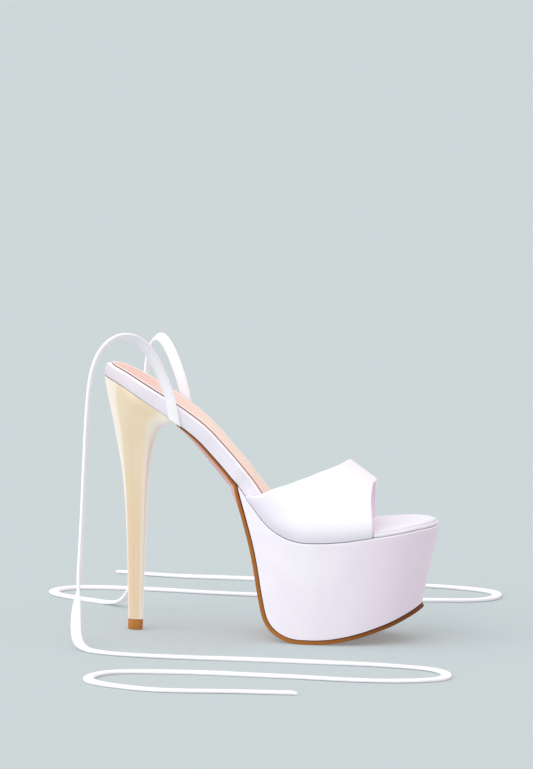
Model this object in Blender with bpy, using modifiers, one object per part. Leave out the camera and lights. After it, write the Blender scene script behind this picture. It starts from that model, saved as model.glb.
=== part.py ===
"""Right platform sandal with a peep toe vamp, a slim high heel and two long ties.

X runs from the heel to the toe, Y to the inner side of the foot, Z up, and the floor is at zero.
The middle of the shoe's length is at X = 0. Every length is in metres.
"""

import math
from collections import namedtuple

import bmesh
import bpy
import numpy as np

# Driving dimensions.
SHOE_LENGTH = 0.2113
BALL_WIDTH = 0.081
SEAT_WIDTH = 0.052
HEEL_HEIGHT = 0.160
PLATFORM_HEIGHT = 0.064
TOE_SPRING = 0.021
INSTEP_HEIGHT = 0.087
TOE_BOX_HEIGHT = 0.031
BOARD_THICKNESS = 0.0094
BACK_BOARD_THICKNESS = 0.0082
TOE_BOARD_THICKNESS = 0.0040
BOARD_CROWN = 0.0004
SOCK_THICKNESS = 0.0008
SOCK_MARGIN = 0.0016
OUTSOLE_THICKNESS = 0.0026
SHANK_CROWN = 0.0043
UPPER_WALL = 0.0018
UPPER_BULGE = 0.0020
TOP_PIECE_HEIGHT = 0.0063
TIE_WIDTH = 0.0063
TIE_THICKNESS = 0.0018
CLEARANCE = 0.0003
TIE_GAP = 0.0005
EDGE_ROUND = 0.0016
WRAP_ROUND = 0.0008
WEDGE_BLUNT = 0.0040
SHANK_GAP = 1.2 * CLEARANCE

# Heights of the insole board's underside: `rise` is the share of the way from the ball up to the
# heel, `lift` the share of the toe spring.
Bed = namedtuple("Bed", "along rise lift")
BED = [
    Bed(0.000, 1.000, 0.00),
    Bed(0.046, 0.961, 0.00),
    Bed(0.091, 0.906, 0.00),
    Bed(0.130, 0.854, 0.00),
    Bed(0.199, 0.760, 0.00),
    Bed(0.278, 0.637, 0.00),
    Bed(0.344, 0.492, 0.00),
    Bed(0.408, 0.336, 0.00),
    Bed(0.453, 0.209, 0.00),
    Bed(0.500, 0.095, 0.00),
    Bed(0.536, 0.043, 0.00),
    Bed(0.566, 0.016, 0.00),
    Bed(0.614, 0.000, 0.00),
    Bed(0.670, 0.000, 0.02),
    Bed(0.732, 0.000, 0.08),
    Bed(0.809, 0.000, 0.20),
    Bed(0.873, 0.000, 0.29),
    Bed(0.939, 0.000, 0.39),
    Bed(1.000, 0.000, 0.45),
]

# Half widths seen from above, outer and inner side, as shares of half the ball width, or of half
# the seat width as far as `seat` says.
Plan = namedtuple("Plan", "along outer inner seat")
PLAN = [
    Plan(0.000, 0.000, 0.000, 1.0),
    Plan(0.017, 0.430, 0.430, 1.0),
    Plan(0.050, 0.720, 0.720, 1.0),
    Plan(0.098, 0.930, 0.930, 1.0),
    Plan(0.159, 1.000, 1.000, 1.0),
    Plan(0.240, 0.950, 0.940, 1.0),
    Plan(0.334, 0.910, 0.790, 1.0),
    Plan(0.405, 0.770, 0.640, 0.5),
    Plan(0.476, 0.790, 0.660, 0.0),
    Plan(0.547, 0.935, 0.825, 0.0),
    Plan(0.618, 1.000, 0.940, 0.0),
    Plan(0.680, 1.000, 0.990, 0.0),
    Plan(0.760, 0.955, 0.980, 0.0),
    Plan(0.831, 0.860, 0.920, 0.0),
    Plan(0.902, 0.690, 0.790, 0.0),
    Plan(0.950, 0.470, 0.620, 0.0),
    Plan(0.983, 0.240, 0.400, 0.0),
    Plan(1.000, -0.074, 0.074, 0.0),
]

# Where the outsole leaves the board and how its upper face runs down the rear of the platform and
# forward to the toe: `up` is a share of the height where it leaves, `spring` of the toe spring.
Tread = namedtuple("Tread", "along up spring")
TREAD = [
    Tread(0.4155, 0.925, 0.00),
    Tread(0.4385, 0.762, 0.00),
    Tread(0.4590, 0.609, 0.00),
    Tread(0.4690, 0.518, 0.00),
    Tread(0.4930, 0.252, 0.00),
    Tread(0.5070, 0.135, 0.00),
    Tread(0.5245, 0.074, 0.00),
    Tread(0.5490, 0.033, 0.00),
    Tread(0.5800, 0.007, 0.00),
    Tread(0.6050, 0.000, 0.00),
    Tread(0.6750, 0.000, 0.00),
    Tread(0.7200, 0.000, 0.06),
    Tread(0.7580, 0.000, 0.17),
    Tread(0.7960, 0.000, 0.30),
    Tread(0.8350, 0.000, 0.43),
    Tread(0.8690, 0.000, 0.555),
    Tread(0.9120, 0.000, 0.77),
    Tread(0.9400, 0.000, 0.905),
    Tread(0.9620, 0.000, 1.00),
]

# Outsole along its run: edge thickness and how far its underside is crowned, as shares of the
# named thickness and crown. `run` is the share of its whole length from the heel.
Sole = namedtuple("Sole", "run edge crown")
SOLE = [
    Sole(0.00, 0.35, 0.05),
    Sole(0.05, 0.50, 0.50),
    Sole(0.12, 0.60, 0.90),
    Sole(0.18, 0.70, 1.00),
    Sole(0.24, 0.95, 0.70),
    Sole(0.30, 1.00, 0.20),
    Sole(0.36, 1.00, 0.00),
    Sole(1.00, 1.00, 0.00),
]

# Rings of the heel from its seat down: back and breast as shares along the shoe, heights as
# shares of the heel's own height, half width as a share of half the seat width, and how far the
# ring keeps the seat's outline.
Ring = namedtuple("Ring", "back back_up breast breast_up half seat")
HEEL = [
    Ring(0.0020, 1.000, 0.2255, 1.000, 0.975, 1.00),
    Ring(0.0050, 0.965, 0.2140, 0.820, 0.950, 1.00),
    Ring(0.0080, 0.947, 0.1970, 0.813, 0.900, 0.96),
    Ring(0.0150, 0.902, 0.1790, 0.806, 0.800, 0.86),
    Ring(0.0210, 0.869, 0.1710, 0.788, 0.700, 0.72),
    Ring(0.0335, 0.795, 0.1615, 0.762, 0.540, 0.46),
    Ring(0.0445, 0.725, 0.1525, 0.720, 0.415, 0.24),
    Ring(0.0570, 0.640, 0.1440, 0.640, 0.320, 0.08),
    Ring(0.0690, 0.530, 0.1405, 0.530, 0.270, 0.00),
    Ring(0.0820, 0.368, 0.1400, 0.368, 0.232, 0.00),
    Ring(0.0895, 0.244, 0.1398, 0.244, 0.208, 0.00),
    Ring(0.0950, 0.087, 0.1390, 0.087, 0.192, 0.00),
    Ring(0.0977, 0.000, 0.1392, 0.000, 0.185, 0.00),
]

# Height of the last's ridge over the board behind the vamp's apex, as a share of the instep height.
# Ahead of the apex the straight fall to the toe box is lower and takes over.
Ridge = namedtuple("Ridge", "along instep")
RIDGE = [
    Ridge(0.400, 0.760),
    Ridge(0.480, 0.840),
    Ridge(0.550, 0.830),
    Ridge(0.640, 0.712),
    Ridge(0.732, 0.537),
    Ridge(0.860, 0.295),
]

# Rear and front edges of the vamp on its outer and inner side: `around` is the share of the way
# from the seam to the ridge.
Edge = namedtuple("Edge", "around outer_rear inner_rear outer_front inner_front")
VAMP_EDGES = [
    Edge(0.000, 0.4328, 0.4600, 0.8085, 0.8090),
    Edge(0.060, 0.4660, 0.4930, 0.8078, 0.8091),
    Edge(0.110, 0.4860, 0.5200, 0.8074, 0.8091),
    Edge(0.176, 0.5110, 0.5620, 0.8066, 0.8092),
    Edge(0.300, 0.5745, 0.6300, 0.8034, 0.8097),
    Edge(0.440, 0.6350, 0.6800, 0.8006, 0.8108),
    Edge(0.620, 0.6862, 0.7190, 0.8016, 0.8118),
    Edge(0.750, 0.7075, 0.7330, 0.8034, 0.8122),
    Edge(0.880, 0.7222, 0.7345, 0.8070, 0.8125),
    Edge(1.000, 0.7314, 0.7314, 0.8125, 0.8125),
]

WEDGE_ALONG = 0.4057          # where platform, board and outsole meet
LIP_ALONG = 0.2275            # front of the heel seat, where the outsole starts
SOCK_END_ALONG = 0.700        # the sock's front edge, under the vamp
LEDGE = UPPER_WALL + 2 * CLEARANCE
LEDGE_STARTS = 0.385
LEDGE_FULL = 0.425
BOARD_FULL = 0.200
BOARD_THINS = 0.470
BOARD_THIN = 0.640
CROWN_STARTS = 0.700
CROWN_FULL = 0.820
SIDE_DRAFT = 0.10             # share of its width that the platform loses down to the floor
BALL_ALONG = 0.65             # the platform's front leans in only ahead of this
WEDGE_LEAD = 0.9              # start of the platform's top, as a share of its blunt end
WEDGE_EASE = 0.2              # how fast its rounded rim grows from that end
SHANK_INSET = 0.0007
LAST_ROUNDNESS = 2.4
FRONT_ALONG = 0.8125          # where the vamp's front edge crosses the ridge
FRONT_FALL = 0.184            # fall of the ridge to there, in metres per length of the shoe
APEX_SOFT = 0.0010            # how far the two slopes of the ridge are eased into each other
BREAST_SQUARENESS = 3.2
BACK_SQUARENESS = 2.2
CORNER_REACH = 2.6            # how early the heel's breast takes the seat's full width
RINGS_CROWD = 1.4             # the heel's rings stand closer together near the seat
BULGE_HEIGHT = 0.010
RIDGE_SHIFT = 0.004

# Ties: the sewn root's middle at the board's foot and at its rim, as shares along the shoe.
Root = namedtuple("Root", "name side foot rim")
ROOTS = [
    Root("tie_root_outer", -1, 0.2175, 0.1715),
    Root("tie_root_inner", 1, 0.2490, 0.2040),
]
ROOT_STANDS = 0.0022          # how far a root stands over the rim

# Routes of the loose ties after the root, chosen by hand: up and over, down and along the floor.
TIE_RADIUS = math.sqrt(TIE_WIDTH * TIE_THICKNESS / math.pi)
OUTER_ROUTE = [
    (-0.0668, -0.0281, 0.1600),
    (-0.0708, -0.0298, 0.1690),
    (-0.0760, -0.0335, 0.1785),
    (-0.0830, -0.0395, 0.1862),
    (-0.0915, -0.0468, 0.1895),
    (-0.1000, -0.0538, 0.1872),
    (-0.1065, -0.0590, 0.1795),
    (-0.1102, -0.0616, 0.1680),
    (-0.1120, -0.0626, 0.1440),
    (-0.1126, -0.0630, 0.1090),
    (-0.1130, -0.0638, 0.0700),
    (-0.1138, -0.0668, 0.0360),
    (-0.1145, -0.0730, 0.0165),
    (-0.1130, -0.0830, 0.0055),
    (-0.1060, -0.0950, 0.0021),
    (-0.0900, -0.1040, 0.0021),
    (-0.0560, -0.1075, 0.0021),
    (-0.0060, -0.1060, 0.0021),
    (0.0420, -0.1060, 0.0021),
    (0.0800, -0.1080, 0.0021),
    (0.1100, -0.1190, 0.0021),
    (0.1130, -0.1470, 0.0021),
    (0.0780, -0.1640, 0.0021),
    (0.0150, -0.1620, 0.0021),
    (-0.0480, -0.1620, 0.0021),
    (-0.0900, -0.1740, 0.0021),
    (-0.0980, -0.2050, 0.0021),
    (-0.0620, -0.2270, 0.0021),
    (-0.0100, -0.2220, 0.0021),
    (0.0250, -0.2190, 0.0021),
]
INNER_ROUTE = [
    (-0.0585, 0.0271, 0.1550),
    (-0.0620, 0.0288, 0.1635),
    (-0.0660, 0.0328, 0.1722),
    (-0.0708, 0.0394, 0.1786),
    (-0.0757, 0.0478, 0.1802),
    (-0.0798, 0.0552, 0.1735),
    (-0.0818, 0.0600, 0.1640),
    (-0.0826, 0.0618, 0.1410),
    (-0.0829, 0.0622, 0.1050),
    (-0.0832, 0.0628, 0.0680),
    (-0.0842, 0.0655, 0.0360),
    (-0.0868, 0.0715, 0.0165),
    (-0.0930, 0.0815, 0.0055),
    (-0.1045, 0.0925, 0.0021),
    (-0.1240, 0.1050, 0.0021),
    (-0.1420, 0.1250, 0.0021),
    (-0.1310, 0.1480, 0.0021),
    (-0.0920, 0.1550, 0.0021),
    (-0.0300, 0.1500, 0.0021),
    (0.0350, 0.1500, 0.0021),
    (0.0950, 0.1540, 0.0021),
    (0.1390, 0.1680, 0.0021),
    (0.1440, 0.1980, 0.0021),
    (0.1060, 0.2150, 0.0021),
    (0.0450, 0.2130, 0.0021),
    (-0.0200, 0.2160, 0.0021),
    (-0.0700, 0.2160, 0.0021),
    (-0.1040, 0.2240, 0.0021),
]

# Fineness of the meshes.
BOARD_STATIONS = 44
PLATFORM_STATIONS = 40
SOLE_STATIONS = 60
ACROSS = 8
WALL_ROWS = 6
HEEL_RINGS = 26
HEEL_ROUND = 28
VAMP_AROUND = 36
VAMP_ALONG = 12
TIE_POINTS = 44
ROUTE_POINTS = 400
EASING_PASSES = 12
MERGE = 1e-6


def clear_scene():
    for obj in list(bpy.data.objects):
        bpy.data.objects.remove(obj, do_unlink=True)


def column(rows, name):
    return np.array([getattr(row, name) for row in rows], float)


def hermite(keys, values, slopes, at):
    """Cubic through the values, with the given slopes at the keys."""
    i = np.clip(np.searchsorted(keys, at, side="right") - 1, 0, len(keys) - 2)
    span = keys[i + 1] - keys[i]
    u = (at - keys[i]) / span
    return (
        (2 * u**3 - 3 * u**2 + 1) * values[i]
        + (u**3 - 2 * u**2 + u) * span * slopes[i]
        + (3 * u**2 - 2 * u**3) * values[i + 1]
        + (u**3 - u**2) * span * slopes[i + 1]
    )


def steady(keys, values, at):
    """Smooth curve through the values that never overshoots them, and stays flat between equals."""
    keys, values = np.asarray(keys, float), np.asarray(values, float)
    at = np.clip(np.asarray(at, float), keys[0], keys[-1])
    span = np.diff(keys)
    rise = np.diff(values) / span
    slopes = np.zeros(len(keys))
    for i in range(1, len(keys) - 1):
        before, after = rise[i - 1], rise[i]
        if before * after > 0:
            near, far = 2 * span[i] + span[i - 1], span[i] + 2 * span[i - 1]
            slopes[i] = (near + far) / (near / before + far / after)
    slopes[0], slopes[-1] = rise[0], rise[-1]
    return hermite(keys, values, slopes, at)


def flowing(points, count, closed=False):
    """Points along one round curve through the given points, spaced by their keys."""
    points = np.asarray(points, float)
    wrap = 3 if closed else 0
    if closed:
        points = np.vstack([points[-wrap:], points, points[:wrap + 1]])
    steps = np.linalg.norm(np.diff(points, axis=0), axis=1) ** 0.5
    keys = np.concatenate([[0.0], np.cumsum(steps)])
    slopes = np.gradient(points, keys, axis=0)
    first, last = keys[wrap], keys[len(keys) - 1 - wrap]
    at = np.linspace(first, last, count, endpoint=not closed)
    return np.stack([hermite(keys, points[:, k], slopes[:, k], at) for k in range(points.shape[1])], 1)


def evenly(line, count):
    """The same line as points at equal distances along it."""
    keys = np.concatenate([[0.0], np.cumsum(np.linalg.norm(np.diff(line, axis=0), axis=1))])
    at = np.linspace(0, keys[-1], count)
    return np.stack([np.interp(at, keys, line[:, k]) for k in range(3)], axis=1)


def ramp(value, start, end):
    """0 before start, 1 after end, and smooth between."""
    u = np.clip((value - start) / (end - start), 0.0, 1.0)
    return u * u * (3 - 2 * u)


def x_at(along):
    return (np.asarray(along, float) - 0.5) * SHOE_LENGTH


def along_at(x):
    return np.asarray(x, float) / SHOE_LENGTH + 0.5


def bed_height(x):
    """Height of the board's underside."""
    along = along_at(x)
    keys = column(BED, "along")
    rise = steady(keys, column(BED, "rise"), along)
    lift = steady(keys, column(BED, "lift"), along)
    return PLATFORM_HEIGHT + rise * (HEEL_HEIGHT - PLATFORM_HEIGHT) + lift * TOE_SPRING


def bed_normal(x):
    """Unit vector away from the board's underside, as its X and Z."""
    step = SHOE_LENGTH / 400
    slope = (bed_height(x + step) - bed_height(x - step)) / (2 * step)
    size = np.sqrt(1 + slope**2)
    return -slope / size, 1 / size


def board_thickness(x):
    along = along_at(x)
    full = ramp(along, 0.0, BOARD_FULL)
    thin = ramp(along, BOARD_THINS, BOARD_THIN)
    rear = BACK_BOARD_THICKNESS + (BOARD_THICKNESS - BACK_BOARD_THICKNESS) * full
    return rear + (TOE_BOARD_THICKNESS - rear) * thin


def outline_loop():
    """The shoe seen from above: back, outer side, toe, inner side."""
    seat = column(PLAN, "seat")
    half = (seat * SEAT_WIDTH + (1 - seat) * BALL_WIDTH) / 2
    x = x_at(column(PLAN, "along"))
    outer = np.stack([x, -half * column(PLAN, "outer")], 1)
    inner = np.stack([x, half * column(PLAN, "inner")], 1)
    return flowing(np.vstack([outer, inner[-2:0:-1]]), 720, closed=True)


OUTLINE = outline_loop()


def outline_sides(inset):
    """The outline moved inward, as its outer and inner side from back to toe."""
    ahead = np.roll(OUTLINE, -1, axis=0) - np.roll(OUTLINE, 1, axis=0)
    ahead /= np.linalg.norm(ahead, axis=1)[:, None]
    moved = OUTLINE + inset * np.stack([-ahead[:, 1], ahead[:, 0]], 1)
    moved = np.roll(moved, -int(moved[:, 0].argmin()), axis=0)
    toe = int(moved[:, 0].argmax())
    outer = moved[:toe + 1]
    inner = np.vstack([moved[toe:], moved[:1]])[::-1]
    return outer, inner


def half_widths(x, inset):
    """Y of the outer and inner edge at each x, with the outline moved inward."""
    return [np.interp(x, side[:, 0], side[:, 1]) for side in outline_sides(inset)]


def reach(inset):
    """Lowest and highest x of the outline moved inward."""
    outer, _ = outline_sides(inset)
    return outer[0, 0], outer[-1, 0]


def rounded(radius, steps=3):
    """Inset and drop of the points of a rounded edge, from the flat face to the side."""
    turns = [math.pi / 2 * k / steps for k in range(steps + 1)]
    return [(radius * (1 - math.sin(t)), radius * (1 - math.cos(t))) for t in turns]


def ring_of(low_row, high_row, outer_rows, inner_rows):
    """One closed ring: across the bottom, up the inner side, back across the top, down the outer."""
    return list(low_row) + list(inner_rows) + list(high_row)[::-1] + list(outer_rows)[::-1]


def solid(name, rings, caps, material, parts):
    """Closed skin over rings of equal length. `caps` says whether the first and last are closed."""
    bm = bmesh.new()
    verts = [[bm.verts.new(point) for point in ring] for ring in rings]
    for ring, following in zip(verts, verts[1:]):
        for k in range(len(ring)):
            m = (k + 1) % len(ring)
            bm.faces.new((ring[k], ring[m], following[m], following[k]))
    if caps[0]:
        bm.faces.new(verts[0])
    if caps[1]:
        bm.faces.new(verts[-1])
    bmesh.ops.remove_doubles(bm, verts=bm.verts, dist=MERGE)
    bmesh.ops.recalc_face_normals(bm, faces=bm.faces)
    mesh = bpy.data.meshes.new(name)
    bm.to_mesh(mesh)
    bm.free()
    return finish(bpy.data.objects.new(name, mesh), material, parts)


def finish(obj, material, parts):
    obj.data.materials.append(material)
    parts.objects.link(obj)
    if obj.type == "MESH":
        obj.data.shade_smooth()
        obj.data.set_sharp_from_angle(angle=math.radians(40))
    return obj


def material(name, color, roughness, metallic=0.0):
    found = bpy.data.materials.new(name)
    found.use_nodes = True
    shader = found.node_tree.nodes["Principled BSDF"]
    shader.inputs["Base Color"].default_value = (*color, 1.0)
    shader.inputs["Roughness"].default_value = roughness
    shader.inputs["Metallic"].default_value = metallic
    found.diffuse_color = (*color, 1.0)
    return found


def slab_rings(rows, spread, start, stop, edge_at, crown=0.0):
    """Rings of a flat piece that follows the board. Each row has an inset and a height over x."""
    grid = []
    for inset, height in rows:
        low, high = start(inset), stop(inset)
        x = low + (high - low) * spread
        outer, inner = edge_at(x, inset)
        nx, nz = bed_normal(x)
        grid.append((x, bed_height(x), nx, nz, outer, inner, height(x)))

    def point(row, i, share, lift=0.0):
        x, z, nx, nz, outer, inner, height = (values[i] for values in grid[row])
        rise = height + lift * np.interp(along_at(x), (CROWN_STARTS, CROWN_FULL), (0.0, 1.0))
        return (x + nx * rise, outer + (inner - outer) * share, z + nz * rise)

    shares = np.linspace(0, 1, ACROSS + 1)
    last = len(rows) - 1
    rings = []
    for i in range(len(spread)):
        low = [point(0, i, s) for s in shares]
        high = [point(last, i, s, crown * 4 * s * (1 - s)) for s in shares]
        outer = [point(k, i, 0.0) for k in range(1, last)]
        inner = [point(k, i, 1.0) for k in range(1, last)]
        rings.append(ring_of(low, high, outer, inner))
    return rings


def board_edges(x, inset):
    """The board fills the outline in the rear, and stands back for the vamp's wall in front."""
    back = ramp(along_at(x), LEDGE_STARTS, LEDGE_FULL)
    wide, narrow = half_widths(x, inset), half_widths(x, inset + LEDGE)
    return [w + (n - w) * back for w, n in zip(wide, narrow)]


def round_spread(count, both=True):
    """Shares from 0 to 1, close together at the rounded ends."""
    steps = np.linspace(0, 1, count + 1)
    if both:
        return (1 - np.cos(np.pi * steps)) / 2
    return np.sin(np.pi / 2 * steps)


def build_board(parts):
    """Insole board wrapped in upper material, from the heel to the toe."""
    rows = [(WRAP_ROUND, lambda x: 0 * x), (0.0, lambda x: 0 * x + WRAP_ROUND)]
    for inset, drop in reversed(rounded(EDGE_ROUND)):
        rows.append((inset, lambda x, drop=drop: board_thickness(x) - drop))
    rings = slab_rings(
        rows, round_spread(BOARD_STATIONS),
        lambda inset: reach(inset)[0],
        lambda inset: reach(inset + LEDGE)[1],
        board_edges, crown=BOARD_CROWN,
    )
    solid("insole", rings, (False, False), material("wrapped_board", (0.90, 0.88, 0.93), 0.45), parts)


def build_sock(parts):
    """Nude sock glued on the board, cut just inside its rim, from the heel to under the vamp."""
    def under(x):
        return board_thickness(x) + CLEARANCE

    rows = [
        (SOCK_MARGIN, under),
        (SOCK_MARGIN, lambda x: under(x) + SOCK_THICKNESS * 0.6),
        (SOCK_MARGIN + SOCK_THICKNESS * 0.6, lambda x: under(x) + SOCK_THICKNESS),
    ]
    rings = slab_rings(
        rows, 1 - round_spread(BOARD_STATIONS * 2 // 3, both=False)[::-1],
        lambda inset: reach(inset)[0],
        lambda inset: x_at(SOCK_END_ALONG),
        board_edges,
    )
    solid("sock", rings, (False, True), material("nude_sock", (0.93, 0.74, 0.64), 0.6), parts)


def tread_path(count, begin=0.0):
    """The outsole's upper face from a length past the wedge, down the rear and on to the toe."""
    wedge = x_at(WEDGE_ALONG)
    start = bed_height(wedge) - SHANK_GAP / bed_normal(wedge)[1] - OUTSOLE_THICKNESS
    x = np.concatenate([[wedge], x_at(column(TREAD, "along"))])
    up = np.concatenate([[1.0], column(TREAD, "up")])
    spring = np.concatenate([[0.0], column(TREAD, "spring")])
    z = OUTSOLE_THICKNESS + up * start + spring * TOE_SPRING
    length = np.concatenate([[0.0], np.cumsum(np.hypot(np.diff(x), np.diff(z)))])
    at = begin + (length[-1] - begin) * round_spread(count, both=False)
    return steady(length, x, at), steady(length, z, at)


def side_of_normal(x, z):
    """Unit normals of a path in the side view, on its left hand."""
    dx, dz = np.gradient(x), np.gradient(z)
    size = np.hypot(dx, dz)
    return -dz / size, dx / size


def platform_tip(depth):
    """Foremost x of the platform at a depth under its top edge."""
    x, z = tread_path(8)
    draft = (x_at(1.0) - x[-1]) / (bed_height(x[-1]) - CLEARANCE - z[-1])
    return x_at(1.0) - draft * depth


def meeting(edges):
    """Both sides with their last points brought together at the toe."""
    outer, inner = edges
    tip = (outer[-1:] + inner[-1:]) / 2
    return [np.concatenate([outer[:-1], tip]), np.concatenate([inner[:-1], tip])]


def platform_edges(x, z, inset):
    """Y of the platform's outer and inner side at points of the side view."""
    ball = x_at(BALL_ALONG)
    depth = np.maximum(bed_height(x) - CLEARANCE - z, 0.0)
    pulled = ball + (x - ball) * (x_at(1.0) - ball) / (platform_tip(depth) - ball)
    plan_x = np.minimum(np.where(x > ball, pulled, x), reach(inset)[1])
    keep = 1 - SIDE_DRAFT * depth / PLATFORM_HEIGHT
    return [side * keep for side in half_widths(plan_x, inset)]


def build_platform(parts):
    """Platform block in wrap material, cut to the board above and the outsole below and behind."""
    low_x, low_z = tread_path(PLATFORM_STATIONS, WEDGE_BLUNT)
    nx, nz = side_of_normal(low_x, low_z)
    low_x, low_z = low_x + nx * CLEARANCE, low_z + nz * CLEARANCE
    spread = round_spread(PLATFORM_STATIONS, both=False)

    def top_row(inset, drop):
        first = x_at(WEDGE_ALONG) + WEDGE_BLUNT * WEDGE_LEAD
        x = first + (reach(inset)[1] - first) * spread
        return x, bed_height(x) - CLEARANCE - np.minimum(drop, WEDGE_EASE * (x - x_at(WEDGE_ALONG)))

    rows = []
    for inset, drop in rounded(WRAP_ROUND, 2):
        x, z = top_row(inset, drop)
        rows.append((x, z, meeting(platform_edges(x, z, inset))))
    top_x, top_z, _ = rows[-1]
    for k in range(1, WALL_ROWS + 1):
        share = k / WALL_ROWS
        x, z = top_x + (low_x - top_x) * share, top_z + (low_z - top_z) * share
        rows.append((x, z, meeting(platform_edges(x, z, 0.0))))
    rows.reverse()

    def point(row, i, share):
        x, z, (outer, inner) = rows[row]
        return (x[i], outer[i] + (inner[i] - outer[i]) * share, z[i])

    shares = np.linspace(0, 1, ACROSS + 1)
    last = len(rows) - 1
    rings = [
        ring_of(
            [point(0, i, s) for s in shares], [point(last, i, s) for s in shares],
            [point(k, i, 0.0) for k in range(1, last)], [point(k, i, 1.0) for k in range(1, last)],
        )
        for i in range(len(spread))
    ]
    solid("platform", rings, (True, False), material("platform_wrap", (0.92, 0.90, 0.95), 0.45), parts)


def build_outsole(parts):
    """Thin sole from the heel lip along the shank, down the rear of the platform and under it."""
    shank_x = x_at(np.linspace(LIP_ALONG, WEDGE_ALONG, 20))[:-1]
    nx, nz = bed_normal(shank_x)
    shank_z = bed_height(shank_x) - nz * SHANK_GAP
    shank_x = shank_x - nx * SHANK_GAP
    low_x, low_z = tread_path(SOLE_STATIONS)
    x, z = np.concatenate([shank_x, low_x]), np.concatenate([shank_z, low_z])
    length = np.concatenate([[0.0], np.cumsum(np.hypot(np.diff(x), np.diff(z)))])
    run = round_spread(SOLE_STATIONS, both=False)
    x, z = steady(length, x, length[-1] * run), steady(length, z, length[-1] * run)
    nx, nz = side_of_normal(x, z)
    edge = OUTSOLE_THICKNESS * steady(column(SOLE, "run"), column(SOLE, "edge"), run)
    crown = SHANK_CROWN * steady(column(SOLE, "run"), column(SOLE, "crown"), run)
    outer, inner = platform_edges(x, z, 0.0)
    tuck = SHANK_INSET * (1 - ramp(along_at(x), WEDGE_ALONG - 0.02, WEDGE_ALONG + 0.02))
    outer, inner = meeting([outer + tuck, inner - tuck])
    shares = np.linspace(0, 1, ACROSS + 1)
    rings = []
    for i in range(len(run)):
        def point(share, thick, i=i):
            return (x[i] - nx[i] * thick, outer[i] + (inner[i] - outer[i]) * share, z[i] - nz[i] * thick)

        upper = [point(s, 0.0) for s in shares]
        lower = [point(s, edge[i] + crown[i] * (1 - (2 * s - 1) ** 2)) for s in shares]
        rings.append(ring_of(lower, upper, [], []))
    solid("outsole", rings, (True, False), material("tan_outsole", (0.52, 0.30, 0.15), 0.5), parts)


def heel_ring(back, breast, half, seat, height_at):
    """D-shaped ring: rounded at the back, flatter with rounded corners at the breast."""
    seat_back, seat_breast = x_at(HEEL[0].back), x_at(HEEL[0].breast)
    middle, reach_x = (back + breast) / 2, (breast - back) / 2
    ring = []
    for k in range(HEEL_ROUND):
        turn = 2 * math.pi * k / HEEL_ROUND
        across, front = math.sin(turn), math.cos(turn)
        power = 2 / (BREAST_SQUARENESS if front > 0 else BACK_SQUARENESS)
        x = middle + reach_x * math.copysign(abs(front) ** power, front)
        stem = half * math.copysign(abs(across) ** power, across)
        seat_x = seat_back + (seat_breast - seat_back) * (x - back) / (breast - back)
        outer, inner = half_widths(seat_x, 0.0)
        side = float(inner if across > 0 else outer) * half / (SEAT_WIDTH / 2)
        corner = math.copysign(min(1.0, abs(across) * CORNER_REACH), across)
        seat_y = abs(side) * corner if front > 0 else side
        y = stem + (seat_y - stem) * seat if abs(across) > 1e-9 else 0.0
        ring.append((float(x), float(y), float(height_at(x, back, breast))))
    return ring


def build_heel(parts):
    """Slim moulded heel with a plated skin, from its seat under the board down to the top piece."""
    foot = TOP_PIECE_HEIGHT + CLEARANCE
    back, breast = x_at(column(HEEL, "back")), x_at(column(HEEL, "breast"))
    back_z = foot + column(HEEL, "back_up") * (HEEL_HEIGHT - foot)
    breast_z = foot + column(HEEL, "breast_up") * (HEEL_HEIGHT - foot)
    back_z[0] = bed_height(back[0]) - CLEARANCE
    breast_z[0] = bed_height(breast[0]) - CLEARANCE
    half = column(HEEL, "half") * SEAT_WIDTH / 2
    keys = np.concatenate([[0.0], np.cumsum(np.hypot(np.diff(back), np.diff(back_z)))])
    keys /= keys[-1]
    at = np.linspace(0, 1, HEEL_RINGS + 1) ** RINGS_CROWD
    lines = [steady(keys, v, at) for v in (back, breast, back_z, breast_z, half, column(HEEL, "seat"))]
    rings = []
    for i, (b, f, bz, fz, h, s) in enumerate(zip(*lines)):
        def tilted(x, b, f, bz=bz, fz=fz):
            return bz + (fz - bz) * (x - b) / (f - b)

        def seated(x, b, f):
            return bed_height(x) - SHANK_GAP

        rings.append(heel_ring(b, f, h, s, tilted if i else seated))
    solid("heel", rings, (True, True), material("plated_heel", (0.83, 0.72, 0.45), 0.15, 1.0), parts)


def build_top_piece(parts):
    """Small wearing block under the heel, flat on the floor."""
    last = HEEL[-1]
    back, breast = x_at(last.back), x_at(last.breast)
    half = last.half * SEAT_WIDTH / 2
    chamfer = TOP_PIECE_HEIGHT * 0.06
    rings = [
        heel_ring(back + chamfer, breast - chamfer, half - chamfer, 0.0, lambda x, b, f: 0.0),
        heel_ring(back, breast, half, 0.0, lambda x, b, f: chamfer),
        heel_ring(back, breast, half, 0.0, lambda x, b, f: TOP_PIECE_HEIGHT),
    ]
    solid("top_piece", rings, (True, True), material("tan_top_piece", (0.50, 0.33, 0.17), 0.5), parts)


def last_point(x, turn):
    """A point of the last over the board: `turn` goes from the outer seam over to the inner seam."""
    along = along_at(x)
    keys = column(RIDGE, "along")
    rising = INSTEP_HEIGHT * steady(keys, column(RIDGE, "instep"), along)
    falling = TOE_BOX_HEIGHT + (FRONT_ALONG - along) * FRONT_FALL
    ridge = -APEX_SOFT * math.log(math.exp(-rising / APEX_SOFT) + math.exp(-falling / APEX_SOFT))
    outer, inner = half_widths(x, 0.0)
    angle = math.pi * turn
    power = 2 / LAST_ROUNDNESS
    up = ridge * abs(math.sin(angle)) ** power
    side = abs(math.cos(angle)) ** power
    swell = UPPER_BULGE * up / BULGE_HEIGHT * math.exp(1 - up / BULGE_HEIGHT)
    shift = RIDGE_SHIFT * (up / ridge) ** 2
    y = (outer * side - swell if turn < 0.5 else inner * side + swell) + shift
    return np.array([x, y, bed_height(x) + CLEARANCE + up], float)


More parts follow.
